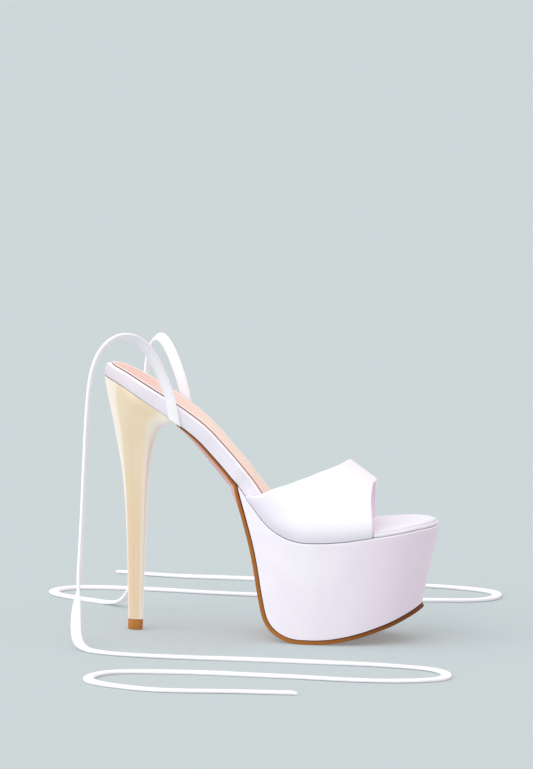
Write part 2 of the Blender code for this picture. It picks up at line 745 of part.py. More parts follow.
def build_vamp(parts):
    """Hollow vamp: one wall over the forefoot, open at the collar, at the toe and underneath."""
    keys = column(VAMP_EDGES, "around")
    turns = np.linspace(0, 1, VAMP_AROUND + 1)
    rows = []
    for turn in turns:
        around = 1 - abs(2 * turn - 1)
        side = "outer" if turn < 0.5 else "inner"
        rear = x_at(steady(keys, column(VAMP_EDGES, side + "_rear"), around))
        front = x_at(steady(keys, column(VAMP_EDGES, side + "_front"), around))
        rows.append([last_point(rear + (front - rear) * k / VAMP_ALONG, turn) for k in range(VAMP_ALONG + 1)])
    bm = bmesh.new()
    verts = [[bm.verts.new(point) for point in row] for row in rows]
    for a, b in zip(verts, verts[1:]):
        for k in range(VAMP_ALONG):
            bm.faces.new((a[k], b[k], b[k + 1], a[k + 1]))
    bmesh.ops.recalc_face_normals(bm, faces=bm.faces)
    mesh = bpy.data.meshes.new("vamp")
    bm.to_mesh(mesh)
    bm.free()
    up = sum(f.normal.z for f in mesh.polygons)
    if up < 0:
        mesh.flip_normals()
    obj = finish(bpy.data.objects.new("vamp", mesh), material("vamp_white", (0.94, 0.93, 0.96), 0.4), parts)
    wall = obj.modifiers.new("wall", "SOLIDIFY")
    wall.thickness = UPPER_WALL
    wall.offset = -1.0
    wall.use_even_offset = True


def beside_board(root, x, height, out):
    """A point beside the board: over its underside at x by a height, and out from its side."""
    nx, nz = bed_normal(x)
    edge = half_widths(x, 0.0)[0 if root.side < 0 else 1]
    y = float(edge) + root.side * (CLEARANCE + out)
    return float(x + nx * height), y, float(bed_height(x) + nz * height)


def root_line(root):
    """A root's middle line on the board's side: its foot, its length, and its steps back and up."""
    foot, rim = x_at(root.foot), x_at(root.rim)
    flat = bed_normal((foot + rim) / 2)[1]
    along = (rim - foot) / flat
    high = board_thickness(rim) + ROOT_STANDS
    run = math.hypot(along, high)
    return foot, run, along / run * flat, high / run


def build_root(root, parts):
    """The tie's sewn end, flat on the board's side from its foot to just over the rim."""
    foot, run, back, up = root_line(root)
    flat = math.sqrt(1 - up * up) / abs(back)
    half = TIE_WIDTH / 2
    soft = TIE_THICKNESS * 0.3
    section = (
        (-1, soft), (-1, TIE_THICKNESS - soft), (-1 + soft / half, TIE_THICKNESS),
        (1 - soft / half, TIE_THICKNESS), (1, TIE_THICKNESS - soft), (1, soft),
        (1 - soft / half, 0.0), (-1 + soft / half, 0.0),
    )
    rings = []
    for share, wide in ((0.0, 1.12), (0.15, 1.12), (0.3, 1.0), (0.65, 1.0), (1.0, 1.0)):
        ring = []
        for across, out in section:
            x = foot + run * share * back + across * half * wide * up / flat
            height = max(run * share * up - across * half * wide * back * flat, CLEARANCE / 2)
            ring.append(beside_board(root, x, height, out))
        rings.append(ring)
    solid(root.name, rings, (True, True), material(root.name, (0.95, 0.94, 0.97), 0.4), parts)


def tie_route(root, route):
    """The whole middle line of a tie, from just over its root."""
    foot, run, back, up = root_line(root)
    reached = run + TIE_GAP
    start = beside_board(root, foot + reached * back, reached * up, TIE_THICKNESS / 2)
    line = evenly(flowing([start, *route], ROUTE_POINTS), ROUTE_POINTS)
    for _ in range(EASING_PASSES):
        line[1:-1] = (line[:-2] + 2 * line[1:-1] + line[2:]) / 4
    line[:, 2] = np.maximum(line[:, 2], TIE_RADIUS + CLEARANCE / 2)
    return line


def build_tie(name, root, route, parts):
    """Loose tie as a plain tube of the strap's own section area."""
    dense = tie_route(root, route)
    steps = np.linalg.norm(np.diff(dense, axis=0), axis=1)
    ahead = np.diff(dense, axis=0) / steps[:, None]
    bend = np.concatenate([[0.0], np.linalg.norm(np.diff(ahead, axis=0), axis=1)])
    keys = np.concatenate([[0.0], np.cumsum(steps + 0.02 * bend)])
    at = np.linspace(0, keys[-1], TIE_POINTS)
    points = [[np.interp(t, keys, dense[:, k]) for k in range(3)] for t in at]
    curve = bpy.data.curves.new(name, "CURVE")
    curve.dimensions = "3D"
    curve.bevel_depth = TIE_RADIUS
    curve.bevel_resolution = 2
    curve.use_fill_caps = True
    spline = curve.splines.new("POLY")
    spline.points.add(len(points) - 1)
    for target, point in zip(spline.points, points):
        target.co = (*point, 1.0)
    finish(bpy.data.objects.new(name, curve), material(name, (0.95, 0.94, 0.97), 0.4), parts)


def main():
    clear_scene()
    parts = bpy.data.collections.new("heeled_sandal")
    bpy.context.scene.collection.children.link(parts)
    build_outsole(parts)
    build_platform(parts)
    build_board(parts)
    build_sock(parts)
    build_heel(parts)
    build_top_piece(parts)
    build_vamp(parts)
    for root in ROOTS:
        build_root(root, parts)
    build_tie("tie_outer", ROOTS[0], OUTER_ROUTE, parts)
    build_tie("tie_inner", ROOTS[1], INNER_ROUTE, parts)


main()
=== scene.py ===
"""Right platform sandal with a peep toe band, a slim plated heel and two long flat ties.

X runs from the heel to the toe, Y to the inner side of the foot, Z up, and the floor is at zero.
Every length is in metres.
"""

import math

import bmesh
import bpy
import numpy as np
from mathutils import Matrix, Vector


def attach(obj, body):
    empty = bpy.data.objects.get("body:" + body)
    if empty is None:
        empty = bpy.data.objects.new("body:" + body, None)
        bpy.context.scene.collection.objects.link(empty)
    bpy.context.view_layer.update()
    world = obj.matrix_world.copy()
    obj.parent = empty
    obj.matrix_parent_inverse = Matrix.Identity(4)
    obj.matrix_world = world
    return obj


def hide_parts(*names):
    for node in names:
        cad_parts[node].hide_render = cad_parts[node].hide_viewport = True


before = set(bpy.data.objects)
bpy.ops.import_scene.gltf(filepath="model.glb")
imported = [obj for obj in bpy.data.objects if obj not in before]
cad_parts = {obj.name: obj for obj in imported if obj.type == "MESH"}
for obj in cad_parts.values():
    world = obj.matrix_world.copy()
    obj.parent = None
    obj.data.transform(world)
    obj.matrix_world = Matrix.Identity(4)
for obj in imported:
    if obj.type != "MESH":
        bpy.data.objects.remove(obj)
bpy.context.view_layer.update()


# Insole board: a stiff arched board, wrapped on its edge in the upper's white material, cemented
# on the platform in front and on the heel at the back. Every other piece takes its place from it.
SHOE_LENGTH = 0.2113
BALL_WIDTH = 0.081
SEAT_WIDTH = 0.052
HEEL_HEIGHT = 0.160
PLATFORM_HEIGHT = 0.064
TOE_SPRING = 0.021
BOARD_THICKNESS = 0.0094
BACK_BOARD_THICKNESS = 0.0082
TOE_BOARD_THICKNESS = 0.0040
PAD_RECESS = 0.0010
BOARD_CROWN = 0.0004
EDGE_ROUND = 0.0016
WRAP_ROUND = 0.0008
SIDE_FULLNESS = 0.00025
CLEARANCE = 0.0003
VAMP_WALL = 0.0018
LEDGE = VAMP_WALL + 2 * CLEARANCE
WEDGE_ALONG = 0.4057
UNDER_STEPS, RIM_STEPS = 3, 6
BOARD_ACROSS = 28
OUTLINE_POINTS = 1800

# Stretches of the shoe's length over which the board changes.
BACK_THICKENS = (0.000, 0.200)
TOE_THINS = (0.470, 0.640)
RECESS_SINKS = (0.700, 0.780)
CROWN_GROWS = (0.700, 0.820)
LEDGE_STEPS_IN = (0.385, 0.425)

# Board's underside along the shoe: share of the rise to the heel, share of the toe spring.
BED = [
    (0.000, 1.000, 0.00),
    (0.046, 0.961, 0.00),
    (0.091, 0.906, 0.00),
    (0.130, 0.854, 0.00),
    (0.199, 0.760, 0.00),
    (0.278, 0.637, 0.00),
    (0.344, 0.492, 0.00),
    (0.408, 0.336, 0.00),
    (0.453, 0.209, 0.00),
    (0.500, 0.095, 0.00),
    (0.536, 0.043, 0.00),
    (0.566, 0.016, 0.00),
    (0.614, 0.000, 0.00),
    (0.670, 0.000, 0.02),
    (0.732, 0.000, 0.08),
    (0.809, 0.000, 0.20),
    (0.873, 0.000, 0.29),
    (0.939, 0.000, 0.39),
    (1.000, 0.000, 0.45),
]

# Outline from above: half widths of the outer and inner side, and how far they follow the seat.
PLAN = [
    (0.000, 0.000, 0.000, 1.0),
    (0.017, 0.430, 0.430, 1.0),
    (0.050, 0.720, 0.720, 1.0),
    (0.098, 0.930, 0.930, 1.0),
    (0.159, 1.000, 1.000, 1.0),
    (0.240, 0.950, 0.940, 1.0),
    (0.334, 0.910, 0.790, 1.0),
    (0.405, 0.770, 0.640, 0.5),
    (0.476, 0.790, 0.660, 0.0),
    (0.547, 0.935, 0.825, 0.0),
    (0.618, 1.000, 0.940, 0.0),
    (0.680, 1.000, 0.990, 0.0),
    (0.760, 0.955, 0.980, 0.0),
    (0.831, 0.860, 0.920, 0.0),
    (0.902, 0.690, 0.790, 0.0),
    (0.950, 0.470, 0.620, 0.0),
    (0.985, 0.240, 0.400, 0.0),
    (1.0035, -0.074, 0.074, 0.0),
]


def hermite(keys, values, slopes, at):
    """Cubic through the values, with the given slopes at the keys."""
    i = np.clip(np.searchsorted(keys, at, side="right") - 1, 0, len(keys) - 2)
    span = keys[i + 1] - keys[i]
    u = (at - keys[i]) / span
    return (
        (2 * u**3 - 3 * u**2 + 1) * values[i]
        + (u**3 - 2 * u**2 + u) * span * slopes[i]
        + (3 * u**2 - 2 * u**3) * values[i + 1]
        + (u**3 - u**2) * span * slopes[i + 1]
    )


def steady(keys, values, at):
    """Smooth curve through the values that never overshoots them."""
    keys, values = np.asarray(keys, float), np.asarray(values, float)
    at = np.clip(np.asarray(at, float), keys[0], keys[-1])
    span = np.diff(keys)
    rise = np.diff(values) / span
    slopes = np.concatenate([rise[:1], np.zeros(len(keys) - 2), rise[-1:]])
    for i in range(1, len(keys) - 1):
        if rise[i - 1] * rise[i] > 0:
            near, far = 2 * span[i] + span[i - 1], span[i] + 2 * span[i - 1]
            slopes[i] = (near + far) / (near / rise[i - 1] + far / rise[i])
    return hermite(keys, values, slopes, at)


def flowing(points, count, closed=False):
    """Points along one round curve through the given points."""
    points = np.asarray(points, float)
    wrap = 3 if closed else 0
    if closed:
        points = np.vstack([points[-wrap:], points, points[:wrap + 1]])
    steps = np.linalg.norm(np.diff(points, axis=0), axis=1) ** 0.5
    keys = np.concatenate([[0.0], np.cumsum(steps)])
    slopes = np.gradient(points, keys, axis=0)
    at = np.linspace(keys[wrap], keys[len(keys) - 1 - wrap], count, endpoint=not closed)
    return np.stack([hermite(keys, points[:, k], slopes[:, k], at) for k in range(points.shape[1])], 1)


def ramp(value, start, end):
    """0 before start, 1 after end, and smooth between."""
    u = np.clip((value - start) / (end - start), 0.0, 1.0)
    return u * u * (3 - 2 * u)


def x_at(along):
    return (np.asarray(along, float) - 0.5) * SHOE_LENGTH


def along_at(x):
    return np.asarray(x, float) / SHOE_LENGTH + 0.5


def bed_height(x):
    """Height of the board's underside."""
    along, rise, lift = np.array(BED).T
    rise = steady(along, rise, along_at(x))
    lift = steady(along, lift, along_at(x))
    return PLATFORM_HEIGHT + rise * (HEEL_HEIGHT - PLATFORM_HEIGHT) + lift * TOE_SPRING


def bed_normal(x):
    """Unit vector away from the board's underside, as its X and Z."""
    step = SHOE_LENGTH / 400
    slope = (bed_height(x + step) - bed_height(x - step)) / (2 * step)
    size = np.sqrt(1 + slope**2)
    return -slope / size, 1 / size


def board_thickness(x):
    along = along_at(x)
    rear = BACK_BOARD_THICKNESS + (BOARD_THICKNESS - BACK_BOARD_THICKNESS) * ramp(along, *BACK_THICKENS)
    front = rear + (TOE_BOARD_THICKNESS - rear) * ramp(along, *TOE_THINS)
    return front - PAD_RECESS * ramp(along, *RECESS_SINKS)


def outline_loop():
    """The shoe seen from above: back, outer side, toe, inner side."""
    along, outer, inner, seat = np.array(PLAN).T
    half = (seat * SEAT_WIDTH + (1 - seat) * BALL_WIDTH) / 2
    x = x_at(along)
    outer, inner = np.stack([x, -half * outer], 1), np.stack([x, half * inner], 1)
    return flowing(np.vstack([outer, inner[-2:0:-1]]), OUTLINE_POINTS, closed=True)


OUTLINE = outline_loop()


def outline_sides(inset):
    """The outline moved inward, as its outer and inner side from back to toe."""
    ahead = np.roll(OUTLINE, -1, axis=0) - np.roll(OUTLINE, 1, axis=0)
    ahead /= np.linalg.norm(ahead, axis=1)[:, None]
    moved = OUTLINE + inset * np.stack([-ahead[:, 1], ahead[:, 0]], 1)
    moved = np.roll(moved, -int(moved[:, 0].argmin()), axis=0)
    toe = int(moved[:, 0].argmax())
    return moved[:toe + 1], np.vstack([moved[toe:], moved[:1]])[::-1]


def half_widths(x, inset):
    """Y of the outer and inner edge at each x, with the outline moved inward."""
    return [np.interp(x, side[:, 0], side[:, 1]) for side in outline_sides(inset)]


def reach(inset):
    """Lowest and highest x of the outline moved inward."""
    outer, _ = outline_sides(inset)
    return outer[0, 0], outer[-1, 0]


def rounded(radius, steps=5):
    """Inset and drop of the points of a rounded edge, from the flat face to the side."""
    turns = [math.pi / 2 * k / steps for k in range(steps + 1)]
    return [(radius * (1 - math.sin(t)), radius * (1 - math.cos(t))) for t in turns]


def round_spread(count, both=True):
    """Shares from 0 to 1, close together at the rounded ends."""
    steps = np.linspace(0, 1, count + 1)
    return (1 - np.cos(np.pi * steps)) / 2 if both else np.sin(np.pi / 2 * steps)


def wound(row_points, last, across):
    """Rings once round a flat piece: over its underside, up one side, over its top, down the other."""
    shares = np.linspace(0, 1, across + 1)
    columns = [row_points(0, s) for s in shares] + [row_points(k, 1.0) for k in range(1, last)]
    columns += [row_points(last, s) for s in shares[::-1]]
    columns += [row_points(k, 0.0) for k in range(last - 1, 0, -1)]
    return np.stack(columns, 1)


def slab_rings(rows, spread, start, stop, edge_at, crown=0.0):
    """Rings of a flat piece that follows the board. Each row has an inset and a height over x."""
    last = len(rows) - 1
    sides = []
    for inset, height in rows:
        low, high = start(inset), stop(inset)
        x = low + (high - low) * spread
        outer, inner = edge_at(x, inset)
        sides.append((x, outer, inner, height(x)))

    def row_points(row, share):
        x, outer, inner, height = sides[row]
        nx, nz = bed_normal(x)
        lift = crown * 4 * share * (1 - share) * (row == last)
        height = height + lift * np.interp(along_at(x), CROWN_GROWS, (0.0, 1.0))
        y = outer + (inner - outer) * share
        return np.stack([x + nx * height, y, bed_height(x) + nz * height], 1)

    return wound(row_points, last, BOARD_ACROSS)


def board_edges(x, inset):
    """The board fills the outline in the rear, and stands back for the vamp's wall in front."""
    back = ramp(along_at(x), *LEDGE_STEPS_IN)
    wide, narrow = half_widths(x, inset), half_widths(x, inset + LEDGE)
    return [w + (n - w) * back for w, n in zip(wide, narrow)]


def loft(name, rings, caps=(False, False), zones=None, marks=None):
    """Mesh over rings of equal length. `zones` names each strip's finish, `marks` holds point values."""
    rings = np.asarray(rings, float)
    count, around = rings.shape[:2]
    faces, finish_of = [], []
    for i in range(count - 1):
        a, b = i * around, (i + 1) * around
        for k in range(around):
            m = (k + 1) % around
            faces.append((a + k, a + m, b + m, b + k))
            finish_of.append(0 if zones is None else zones[k])
    for closed, first in zip(caps, (0, (count - 1) * around)):
        if closed:
            faces.append(tuple(range(first, first + around)))
            finish_of.append(0)
    mesh = bpy.data.meshes.new(name)
    mesh.from_pydata(rings.reshape(-1, 3).tolist(), [], faces)
    mesh.polygons.foreach_set("material_index", finish_of)
    for mark, values in (marks or {}).items():
        held = mesh.attributes.new(mark, "FLOAT", "POINT")
        held.data.foreach_set("value", np.asarray(values, np.float32).reshape(-1))
    bm = bmesh.new()
    bm.from_mesh(mesh)
    bmesh.ops.remove_doubles(bm, verts=bm.verts, dist=1e-7)
    bmesh.ops.recalc_face_normals(bm, faces=bm.faces)
    bm.to_mesh(mesh)
    bm.free()
    return bpy.data.objects.new(name, mesh)


def fit(obj, finishes, slot, *nodes):
    """Puts a piece on the shoe, in place of the named solids."""
    for finish in finishes:
        obj.data.materials.append(finish.material)
    bpy.context.scene.collection.objects.link(obj)
    obj.data.shade_smooth()
    obj.data.set_sharp_from_angle(angle=math.radians(50))
    if nodes:
        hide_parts(*nodes)
    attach(obj, "root")
    return obj


class Reading:
    """A value on a finish. Sums and products of it add Math nodes."""

    def __init__(self, finish, socket):
        self.finish = finish
        self.socket = socket

    def join(self, operation, first, second=0.0):
        return self.finish.node("ShaderNodeMath", {"operation": operation}, {0: first, 1: second})

    def __add__(self, other):
        return self.join("ADD", self, other)

    def __rsub__(self, other):
        return self.join("SUBTRACT", other, self)

    def __mul__(self, other):
        return self.join("MULTIPLY", self, other)

    __radd__ = __add__
    __rmul__ = __mul__

    def between(self, low, high):
        """0 below low, 1 above high, smooth between."""
        settings = {"interpolation_type": "SMOOTHSTEP"}
        return self.finish.node("ShaderNodeMapRange", settings, {0: self, 1: low, 2: high})


class Finish:
    """One material: its shader and the nodes that feed it."""

    def __init__(self, name, **uniform):
        self.material = bpy.data.materials.new(name)
        self.wire(self.material, "Principled BSDF")
        self.give(**uniform)

    def wire(self, owner, shader):
        owner.use_nodes = True
        self.tree = owner.node_tree
        self.shader = self.tree.nodes[shader]

    def give(self, **inputs):
        """Sets or links the shader's inputs, named with _ for a blank."""
        for name, value in inputs.items():
            self.feed(self.shader.inputs[name.replace("_", " ")], value)

    def feed(self, socket, value):
        if isinstance(value, Reading):
            self.tree.links.new(value.socket, socket)
        elif isinstance(value, tuple) and socket.type == "RGBA":
            socket.default_value = (*value, 1.0)
        else:
            socket.default_value = value

    def node(self, kind, settings=None, sockets=None, output=0):
        made = self.tree.nodes.new(kind)
        for name, value in (settings or {}).items():
            setattr(made, name, value)
        for name, value in (sockets or {}).items():
            self.feed(made.inputs[name], value)
        return Reading(self, made.outputs[output])

    def place(self, stretch=(1.0, 1.0, 1.0)):
        """The point's place on the shoe, shrunk or stretched along the axes."""
        where = self.node("ShaderNodeTexCoord", output="Object")
        settings = {"operation": "MULTIPLY"}
        return self.node("ShaderNodeVectorMath", settings, {0: where, 1: stretch})

    def along(self, axis):
        return self.node("ShaderNodeSeparateXYZ", None, {0: self.place()}, output=axis)

    def toward_toe(self, start, end):
        """0 behind start, 1 ahead of end, both as shares of the shoe's length."""
        return self.along("X").between(float(x_at(start)), float(x_at(end)))

    def mark(self, name):
        settings = {"attribute_name": name}
        return self.node("ShaderNodeAttribute", settings, output="Fac")

    def cloud(self, size, detail=2.0, stretch=(1.0, 1.0, 1.0)):
        """Soft noise from 0 to 1 with features of about this size."""
        sockets = {"Vector": self.place(stretch), "Scale": 1 / size, "Detail": detail}
        return self.node("ShaderNodeTexNoise", None, sockets)

    def pebble(self, size):
        """Distance to the nearest of many small cells, as in an embossed grain."""
        sockets = {"Vector": self.place(), "Scale": 1 / size}
        return self.node("ShaderNodeTexVoronoi", {"feature": "SMOOTH_F1"}, sockets)

    def blend(self, share, first, second):
        settings = {"data_type": "RGBA", "clamp_factor": True}
        return self.node("ShaderNodeMix", settings, {0: share, 6: first, 7: second}, output=2)

    def relief(self, height, depth):
        """Normal of a surface raised by up to `depth` where height is 1."""
        self.give(Normal=self.node("ShaderNodeBump", None, {"Height": height, "Distance": depth}))


class Leather(Finish):
    """Smooth coated leather: white with a lavender cast, finely grained, with a soft sheen."""

    def __init__(self, name, light, shade, grain=0.00007):
        super().__init__(name, IOR=1.48, Coat_Roughness=0.28, Coat_IOR=1.45, Coat_Weight=0.12)
        fine = self.cloud(0.0016, 2.0)
        self.colour = self.blend(self.cloud(0.030, 3.0).between(0.35, 0.68), light, shade)
        self.give(Base_Color=self.colour, Roughness=0.40 + 0.10 * fine)
        self.relief(0.6 * self.pebble(0.00075) + 0.5 * fine + 1.2 * self.cloud(0.006), grain)

    def tint(self, share, colour):
        """Moves the colour toward another one by a share over the surface."""
        self.colour = self.blend(share, self.colour, colour)
        self.give(Base_Color=self.colour)


wrap_white = Leather("wrap_white", (0.85, 0.81, 0.885), (0.815, 0.775, 0.865))
# Painted shade: the white wrap is made darker toward the back end of the board.
wrap_rear_shade = 1 - wrap_white.toward_toe(0.00, 0.22)
wrap_white.tint(wrap_rear_shade, (0.650, 0.588, 0.645))
# Painted highlight: the wrap's rounded top edge, held by the rim mark, is made lighter.
wrap_white.tint(0.8 * wrap_white.mark("rim"), (1.0, 0.97, 1.0))

board_rows = [(inset, lambda x, up=drop: 0 * x + up) for inset, drop in rounded(WRAP_ROUND, UNDER_STEPS)]
for share in (0.25, 0.5, 0.75):
    board_rows.append((
        -SIDE_FULLNESS * math.sin(math.pi * share),
        lambda x, s=share: WRAP_ROUND + (board_thickness(x) - WRAP_ROUND - EDGE_ROUND) * s,
    ))
for inset, drop in reversed(rounded(EDGE_ROUND, RIM_STEPS)):
    board_rows.append((inset, lambda x, down=drop: board_thickness(x) - down))
board_rings = slab_rings(
    board_rows, round_spread(200),
    lambda inset: reach(inset)[0],
    lambda inset: reach(inset + LEDGE)[1],
    board_edges, crown=BOARD_CROWN,
)
# The rim mark: the columns of the rounded top edge, which carry the painted highlight.
side_rim = [float(row > len(board_rows) - 1 - RIM_STEPS) for row in range(1, len(board_rows) - 1)]
face_rim = [0.0] * (BOARD_ACROSS + 1)
board_rim_highlight = face_rim + side_rim + face_rim + side_rim[::-1]
board_marks = {"rim": np.tile(board_rim_highlight, (len(board_rings), 1))}
fit(loft("wrapped_board", board_rings, marks=board_marks), [wrap_white], "insole", "insole")


# Sock lining: thin peach sheet glued on the board from the seat to under the vamp. It is cut just
# inside the rim. Its cut edge is coloured as a thin brown line, partly the edge's own colour and
# partly painted shade of the gap under it, and its top gets a painted highlight along both edges.
SOCK_THICKNESS = 0.0008
SOCK_MARGIN = 0.0016
SOCK_SOFT = SOCK_THICKNESS * 0.75
SOCK_GLUE = 0.00005
SOCK_END_ALONG = 0.700
PEACH = (1.00, 0.755, 0.625)
PEACH_REAR = (0.88, 0.52, 0.44)
PEACH_RIM_HIGHLIGHT = (0.95, 0.83, 0.85)


def sock_under(x):
    return board_thickness(x) + SOCK_GLUE


sock_lining = Finish("sock_lining", IOR=1.45)
sock_rear = 1 - sock_lining.toward_toe(0.05, 0.34)
# Random tone, plus a painted highlight that turns the top pale pink along both edges.
sock_tone_and_rim_highlight = 0.25 * sock_lining.cloud(0.012, 3.0) + 0.9 * sock_lining.mark("edge").between(0.72, 1.0)
sock_body = sock_lining.blend(sock_rear, PEACH, PEACH_REAR)
sock_lining.give(
    Base_Color=sock_lining.blend(sock_tone_and_rim_highlight, sock_body, PEACH_RIM_HIGHLIGHT),
    Roughness=0.50 + 0.15 * sock_lining.cloud(0.002),
)
sock_lining.relief(sock_lining.pebble(0.0006) + sock_lining.cloud(0.0012), 0.00006)

# The edge's brown is partly its own colour and partly painted shade of the gap under the sheet, darker
# toward the back.
cut_edge_and_gap_shade = Finish("sock_cut_edge_and_gap_shade", Roughness=0.7)
edge_front = cut_edge_and_gap_shade.toward_toe(0.10, 0.42)
cut_edge_and_gap_shade.give(Base_Color=cut_edge_and_gap_shade.blend(edge_front, (0.17, 0.045, 0.022), (0.42, 0.135, 0.030)))

sock_rows = [
    (SOCK_MARGIN, sock_under),
    (SOCK_MARGIN, lambda x: sock_under(x) + SOCK_SOFT),
    (SOCK_MARGIN + SOCK_SOFT * 0.4, lambda x: sock_under(x) + SOCK_THICKNESS * 0.95),
    (SOCK_MARGIN + SOCK_SOFT * 1.5, lambda x: sock_under(x) + SOCK_THICKNESS),
]
sock_rings = slab_rings(
    sock_rows, 1 - round_spread(150, both=False)[::-1],
    lambda inset: reach(inset)[0],
    lambda inset: x_at(SOCK_END_ALONG),
    board_edges,
)
sock_zones = [0] * sock_rings.shape[1]
sock_zones[BOARD_ACROSS] = sock_zones[-1] = 1
# The edge mark: 1 at both edges of the top, for the painted highlight.
sock_rim_highlight = [1.0] * sock_rings.shape[1]
for column in range(BOARD_ACROSS + 1):
    sock_rim_highlight[-3 - column] = abs(2 * column / BOARD_ACROSS - 1)
sock_mesh = loft(
    "sock_lining", sock_rings, (False, True), sock_zones,
    {"edge": np.tile(sock_rim_highlight, (len(sock_rings), 1))},
)
fit(sock_mesh, [sock_lining, cut_edge_and_gap_shade], "sock", "sock")


# Platform: a light block under the forefoot, wrapped in the white material, drafted inward to the
# floor and cut to the board above and to the outsole below and behind.
OUTSOLE_THICKNESS = 0.0026
SIDE_DRAFT = 0.10
WEDGE_BLUNT = 0.0010
BOARD_GAP = 0.00020

# Outsole's upper face after the wedge: share of the wedge's height, share of the toe spring.
TREAD = [
    (0.4155, 0.925, 0.00),
    (0.4385, 0.762, 0.00),
    (0.4590, 0.609, 0.00),
    (0.4690, 0.518, 0.00),
    (0.4930, 0.252, 0.00),
    (0.5070, 0.135, 0.00),
    (0.5245, 0.074, 0.00),
    (0.5490, 0.033, 0.00),
    (0.5800, 0.007, 0.00),
    (0.6050, 0.000, 0.00),
    (0.6400, 0.000, 0.00),
    (0.6750, 0.000, 0.018),
    (0.7200, 0.000, 0.085),
    (0.7580, 0.000, 0.170),
    (0.7960, 0.000, 0.280),
    (0.8350, 0.000, 0.415),
    (0.8690, 0.000, 0.542),
    (0.9120, 0.000, 0.735),
    (0.9400, 0.000, 0.880),
    (0.9620, 0.000, 1.00),
]


def run_along(points):
    """Length of a line from its first point to each of its points."""
    return np.concatenate([[0.0], np.cumsum(np.linalg.norm(np.diff(points, axis=0), axis=1))])


def tread_path(count, begin=0.0):
    """The outsole's upper face from a length past the wedge, down the rear and on to the toe."""
    wedge = x_at(WEDGE_ALONG)
    start = bed_height(wedge) - BOARD_GAP / bed_normal(wedge)[1] - OUTSOLE_THICKNESS
    along, up, spring = np.array(TREAD).T
    x = np.concatenate([[wedge], x_at(along)])
    z = OUTSOLE_THICKNESS + np.concatenate([[start], up * start + spring * TOE_SPRING])
    length = run_along(np.stack([x, z], 1))
    at = begin + (length[-1] - begin) * round_spread(count, both=False)
    return steady(length, x, at), steady(length, z, at)


def side_of_normal(x, z):
    """Unit normals of a path in the side view, on its left hand."""
    dx, dz = np.gradient(x), np.gradient(z)
    size = np.hypot(dx, dz)
    return -dz / size, dx / size


def meeting(edges):
    """Both sides with their last points brought together at the toe."""
    outer, inner = edges
    tip = (outer[-1:] + inner[-1:]) / 2
    return [np.concatenate([outer[:-1], tip]), np.concatenate([inner[:-1], tip])]


def platform_edges(x, z, inset):
    """Y of the platform's outer and inner side at points of the side view."""
    toe, ball = reach(0.0)[1], x_at(0.65)
    tip_x, tip_z = (values[-1] for values in tread_path(8))
    draft = (toe - tip_x) / (bed_height(tip_x) - CLEARANCE - tip_z)
    depth = np.maximum(bed_height(x) - CLEARANCE - z, 0.0)
    pulled = ball + (x - ball) * (toe - ball) / (toe - draft * depth - ball)
    plan_x = np.minimum(np.where(x > ball, pulled, x), reach(inset)[1])
    keep = 1 - SIDE_DRAFT * depth / PLATFORM_HEIGHT
    return [side * keep for side in half_widths(plan_x, inset)]


def platform_rings(stations, wall_rows, across):
    low_x, low_z = tread_path(stations, WEDGE_BLUNT)
    nx, nz = side_of_normal(low_x, low_z)
    low_x, low_z = low_x + nx * CLEARANCE, low_z + nz * CLEARANCE
    spread = round_spread(stations, both=False)
    first = x_at(WEDGE_ALONG) + WEDGE_BLUNT * 0.9
    rows = []
    for inset, drop in rounded(WRAP_ROUND, 4):
        x = first + (reach(inset)[1] - first) * spread
        z = bed_height(x) - CLEARANCE - np.minimum(drop, 0.2 * (x - x_at(WEDGE_ALONG)))
        rows.append((x, z, meeting(platform_edges(x, z, inset))))
    top_x, top_z, _ = rows[-1]
    for k in range(1, wall_rows + 1):
        share = k / wall_rows
        x, z = top_x + (low_x - top_x) * share, top_z + (low_z - top_z) * share
        rows.append((x, z, meeting(platform_edges(x, z, 0.0))))
    rows.reverse()
    last = len(rows) - 1

    def row_points(row, share):
        x, z, (outer, inner) = rows[row]
        return np.stack([x, outer + (inner - outer) * share, z], 1)

    # Shares of the rounded top edge's rows, which get a painted highlight.
    rim = [float(k > wall_rows) for k in range(last)]
    rims = [0.0] * (across + 1) + rim[1:] + [1.0] * (across + 1) + rim[:0:-1]
    return wound(row_points, last, across), rims


platform_white = Leather("platform_white", (0.893, 0.846, 0.916), (0.856, 0.805, 0.888))
# Painted shade: the white is made darker and pinker toward the toe.
painted_toe_shade = platform_white.toward_toe(0.62, 0.96)
platform_white.tint(0.9 * painted_toe_shade, (0.835, 0.717, 0.845))
# Painted highlight along the rounded top edge.
platform_white.tint(0.75 * platform_white.mark("rim"), (1.0, 0.97, 1.0))
block_rings, block_rim_highlight = platform_rings(180, 24, 16)
block_marks = {"rim": np.tile(block_rim_highlight, (len(block_rings), 1))}
block = loft("platform_block", block_rings, (True, False), marks=block_marks)
fit(block, [platform_white], "platform", "platform")


# Outsole: one sole sheet from the heel's breast along the shank, down the back of the platform
# and under it. Its edge is inked tan-brown and its underside at the shank is crowned.
LIP_ALONG = 0.2262
SHANK_CROWN = 0.0043
SHANK_INSET = 0.0007
TUCK_RUN = 0.02
EDGE_SOFT = 0.12
EDGE_ROWS = [0.12, 0.28, 0.42, 0.60, 0.78, 0.90]

# Along the outsole's run: share of its edge thickness, share of its crown.
SOLE = [
    (0.00, 0.38, 0.30),
    (0.03, 0.46, 0.62),
    (0.10, 0.58, 0.92),
    (0.18, 0.70, 1.00),
    (0.24, 0.95, 0.70),
    (0.30, 1.00, 0.20),
    (0.36, 1.00, 0.00),
    (1.00, 1.00, 0.00),
]


